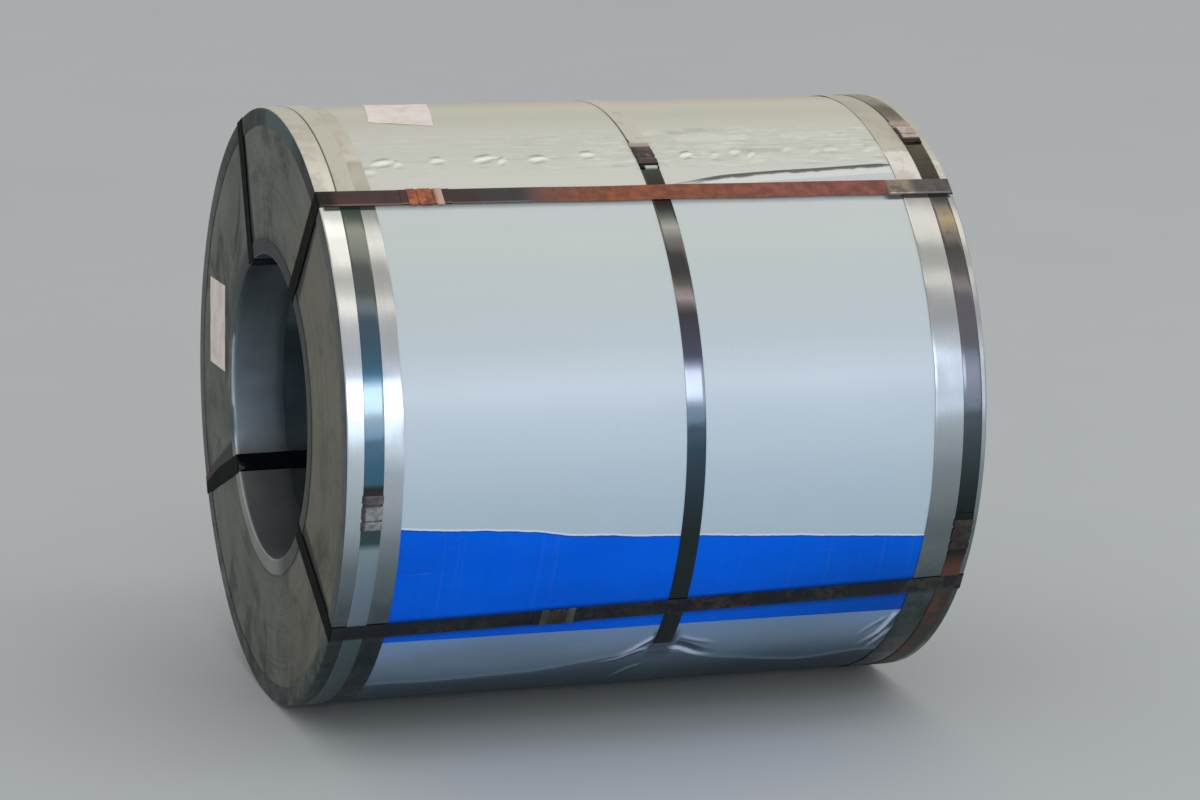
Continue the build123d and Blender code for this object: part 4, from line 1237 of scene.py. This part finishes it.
def mat_liner():
    g = Graph("sleeve_sheet")
    x, ang, rad = g.polar()
    p = g.pos
    a = g.noise(g.scale(p, (6, 6, 6)), 1.0, 4, 0.6)
    col = g.mix(g.step(a, 0.3, 0.7), srgb(134, 150, 160), srgb(88, 102, 112))
    col = g.mix(g.mul(g.band(ang, -66.0, -56.0, 8.0), 0.6), col, srgb(176, 196, 208))
    low = g.mx(g.step(ang, 150.0, 172.0), g.step(ang, -112.0, -126.0))
    col = g.mix(g.mul(low, 0.8), col, g.mix(a, srgb(104, 106, 100), srgb(70, 74, 70)))
    lines = g.noise(g.vec(g.mul(x, 0.006), g.mul(ang, 0.55), 1.0), 1.0, 4, 0.65)
    col = g.mix(g.mul(g.step(lines, 0.5, 0.75), 0.35), col, srgb(76, 90, 98))
    n = g.bump(lines, 0.2, 0.0006)
    return g.set(color=col, rough=g.add(0.30, g.mul(a, 0.14)), metal=0.8, normal=n)


def mat_paper():
    g = Graph("label_paper")
    p = g.pos
    a = g.noise(g.scale(p, (30, 30, 30)), 1.0, 4, 0.6)
    b = g.noise(g.scale(p, (500, 500, 500)), 1.0, 2, 0.5)
    col = g.mix(g.step(a, 0.35, 0.75), srgb(232, 220, 214), srgb(214, 198, 192))
    col = g.mix(g.mul(g.step(a, 0.62, 0.8), 0.4), col, srgb(168, 156, 148))
    n = g.bump(b, 0.15, 0.0002)
    return g.set(color=col, rough=0.75, normal=n)


def mat_strip():
    g = Graph("strip_turns")
    x, ang, rad = g.polar()
    turns = g.noise(g.vec(g.mul(rad, 1.6), g.mul(ang, 0.01), 4.0), 1.0, 4, 0.75)
    col = g.mix(g.step(turns, 0.35, 0.7), srgb(176, 178, 178), srgb(120, 123, 124))
    n = g.bump(turns, 0.4, 0.0008)
    return g.set(color=col, rough=0.34, metal=0.9, normal=n)


# ---------------------------------------------------------------- build
made = {}


def add(obj, slot, mat, *replaced):
    obj.data.materials.clear()
    obj.data.materials.append(mat)
    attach(obj, "root")
    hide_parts(*replaced)
    made[obj.name] = obj
    return obj


M_ring = galvanised("ring_galvanised")
M_ring_in = bore_ring("bore_ring_galvanised")
M_disc = mat_disc()
M_liner = mat_liner()
M_paper = mat_paper()

add(build_wrap(), "wrap_sheet", mat_wrap(), "outer_wrap")
for side, nm in ((-1, "left"), (1, "right")):
    add(build_outer_ring(side, 40 + side), "edge_ring", M_ring, "outer_ring_" + nm)
    add(build_inner_ring(side, 50 + side), "edge_ring", M_ring_in, "inner_ring_" + nm)
    add(build_disc(side, 60 + side), "disc_sheet", M_disc, "end_disc_" + nm)
add(build_liner(), "liner_sheet", M_liner, "bore_liner")
for nm in ("left", "middle", "right"):
    add(build_body_strap(nm, 80 + len(nm)), "body_strap", mat_strap("strap_blued_" + nm, nm), "body_strap_" + nm)
for nm in EYE:
    add(build_eye_strap(nm), "eye_strap", mat_strap("strap_eye_finish_" + nm, nm), "eye_strap_" + nm)
FINISH = {"body_seal_left": ("grey", (0, 0)), "body_seal_middle": ("brown", (0.9, 0)), "body_seal_right_upper": ("pink", (0, 0)),
          "body_seal_right_lower": ("olive", (0, 0)), "eye_seal_top_front": ("rusty", (0, 0.8)), "eye_seal_bottom_front": ("olive", (0.3, 0.6)),
          "eye_seal_bottom_rear": ("rusty", (0, 0)), "eye_seal_top_rear": ("brown", (0, 0))}
for s, (owner, at) in BODY_SEALS.items():
    tone, soft = FINISH[s]
    add(build_body_seal(s), "seal", mat_seal("finish_" + s, tone, lambda g, x, ang, at=at: g.mul(g.sub(ang, at), 8.63), soft, float(body_x(owner, at))), s)
for s, (owner, at) in EYE_SEALS.items():
    tone, soft = FINISH[s]
    add(build_eye_seal(s), "seal", mat_seal("finish_" + s, tone, lambda g, x, ang, at=at: g.sub(x, at), soft), s)
add(build_label_end(), "label", M_paper, "label_end")
add(build_label_top(), "label", M_paper, "label_top")

strip = mat_strip()
coil = nodes["coil"]
if coil.data.materials:
    for i in range(len(coil.data.materials)):
        coil.data.materials[i] = strip
else:
    coil.data.materials.append(strip)

# ---------------------------------------------------------------- stage
def plane(name, size, z):
    me = bpy.data.meshes.new(name)
    s = size
    me.from_pydata([(-s, -s, z), (s, -s, z), (s, s, z), (-s, s, z)], [], [(0, 1, 2, 3)])
    o = bpy.data.objects.new(name, me)
    bpy.context.scene.collection.objects.link(o)
    return o


floor = plane("floor", 60.0, FLOOR_Z)
gf = Graph("floor_pale")
fn = gf.noise(gf.scale(gf.pos, (1.1, 1.1, 1.1)), 1.0, 4, 0.6)
floor.data.materials.append(gf.set(color=gf.mix(fn, srgb(180, 184, 185), srgb(187, 190, 190)), rough=0.7, spec=0.2))


def area(name, pos, target, size, power, color):
    li = bpy.data.lights.new(name, "AREA")
    li.shape = "RECTANGLE"
    li.size, li.size_y = size
    li.energy = power
    li.color = color
    o = bpy.data.objects.new(name, li)
    bpy.context.scene.collection.objects.link(o)
    o.location = pos
    d = Vector(target) - Vector(pos)
    o.rotation_mode = "QUATERNION"
    o.rotation_quaternion = d.to_track_quat("-Z", "Y")
    return o


# power is radiance times area times pi
def watts(radiance, size):
    return radiance * size[0] * size[1] * math.pi


for nm, elevation, dist, tall, rad, colour in (
    ("high_strip", 74.8, 9.0, 17.0, 1.15, (1.0, 0.98, 0.92)),
    ("upper_strip", 48.5, 9.0, 6.0, 0.95, (1.0, 0.98, 0.92)),
    ("front_wide", 11.0, 9.2, 23.0, 0.80, (0.78, 0.94, 1.16)),
    ("front_core", 14.5, 8.9, 11.0, 2.60, (0.88, 0.95, 1.04)),
):
    e = math.radians(elevation)
    wide, mid = (6.4, 0.6) if nm == "front_core" else (9.0, 3.0)
    size = (wide, 2 * dist * math.tan(math.radians(tall / 2)))
    area(nm, (mid, -dist * math.cos(e), dist * math.sin(e)), (mid, 0.0, 0.0), size, watts(rad, size), colour)

world = bpy.data.worlds.new("studio")
bpy.context.scene.world = world
world.use_nodes = True
bg = next(n for n in world.node_tree.nodes if n.type == "BACKGROUND")
bg.inputs["Color"].default_value = (0.99, 1.0, 1.0, 1.0)
bg.inputs["Strength"].default_value = 0.75

# ---------------------------------------------------------------- camera: the photograph's viewing angle
cam_data = bpy.data.cameras.new("camera")
cam_data.sensor_width = 36.0
cam_data.lens = 3900.0 * 36.0 / 1200.0
cam_data.clip_end = 200.0
cam = bpy.data.objects.new("camera", cam_data)
bpy.context.scene.collection.objects.link(cam)
eye = Vector((-2.0863, -6.0989, 1.4474))
look = Vector((0.043, 0.0, -0.015)) - eye
cam.location = eye
cam.rotation_mode = "QUATERNION"
q = look.to_track_quat("-Z", "Y")
from mathutils import Quaternion
cam.rotation_quaternion = q @ Quaternion((0, 0, 1), math.radians(1.73))
bpy.context.scene.camera = cam
bpy.context.scene.view_settings.view_transform = "Standard"

bpy.context.view_layer.update()
print("triangles", {o.name: sum(len(p.vertices) - 2 for p in o.data.polygons) for o in made.values()})
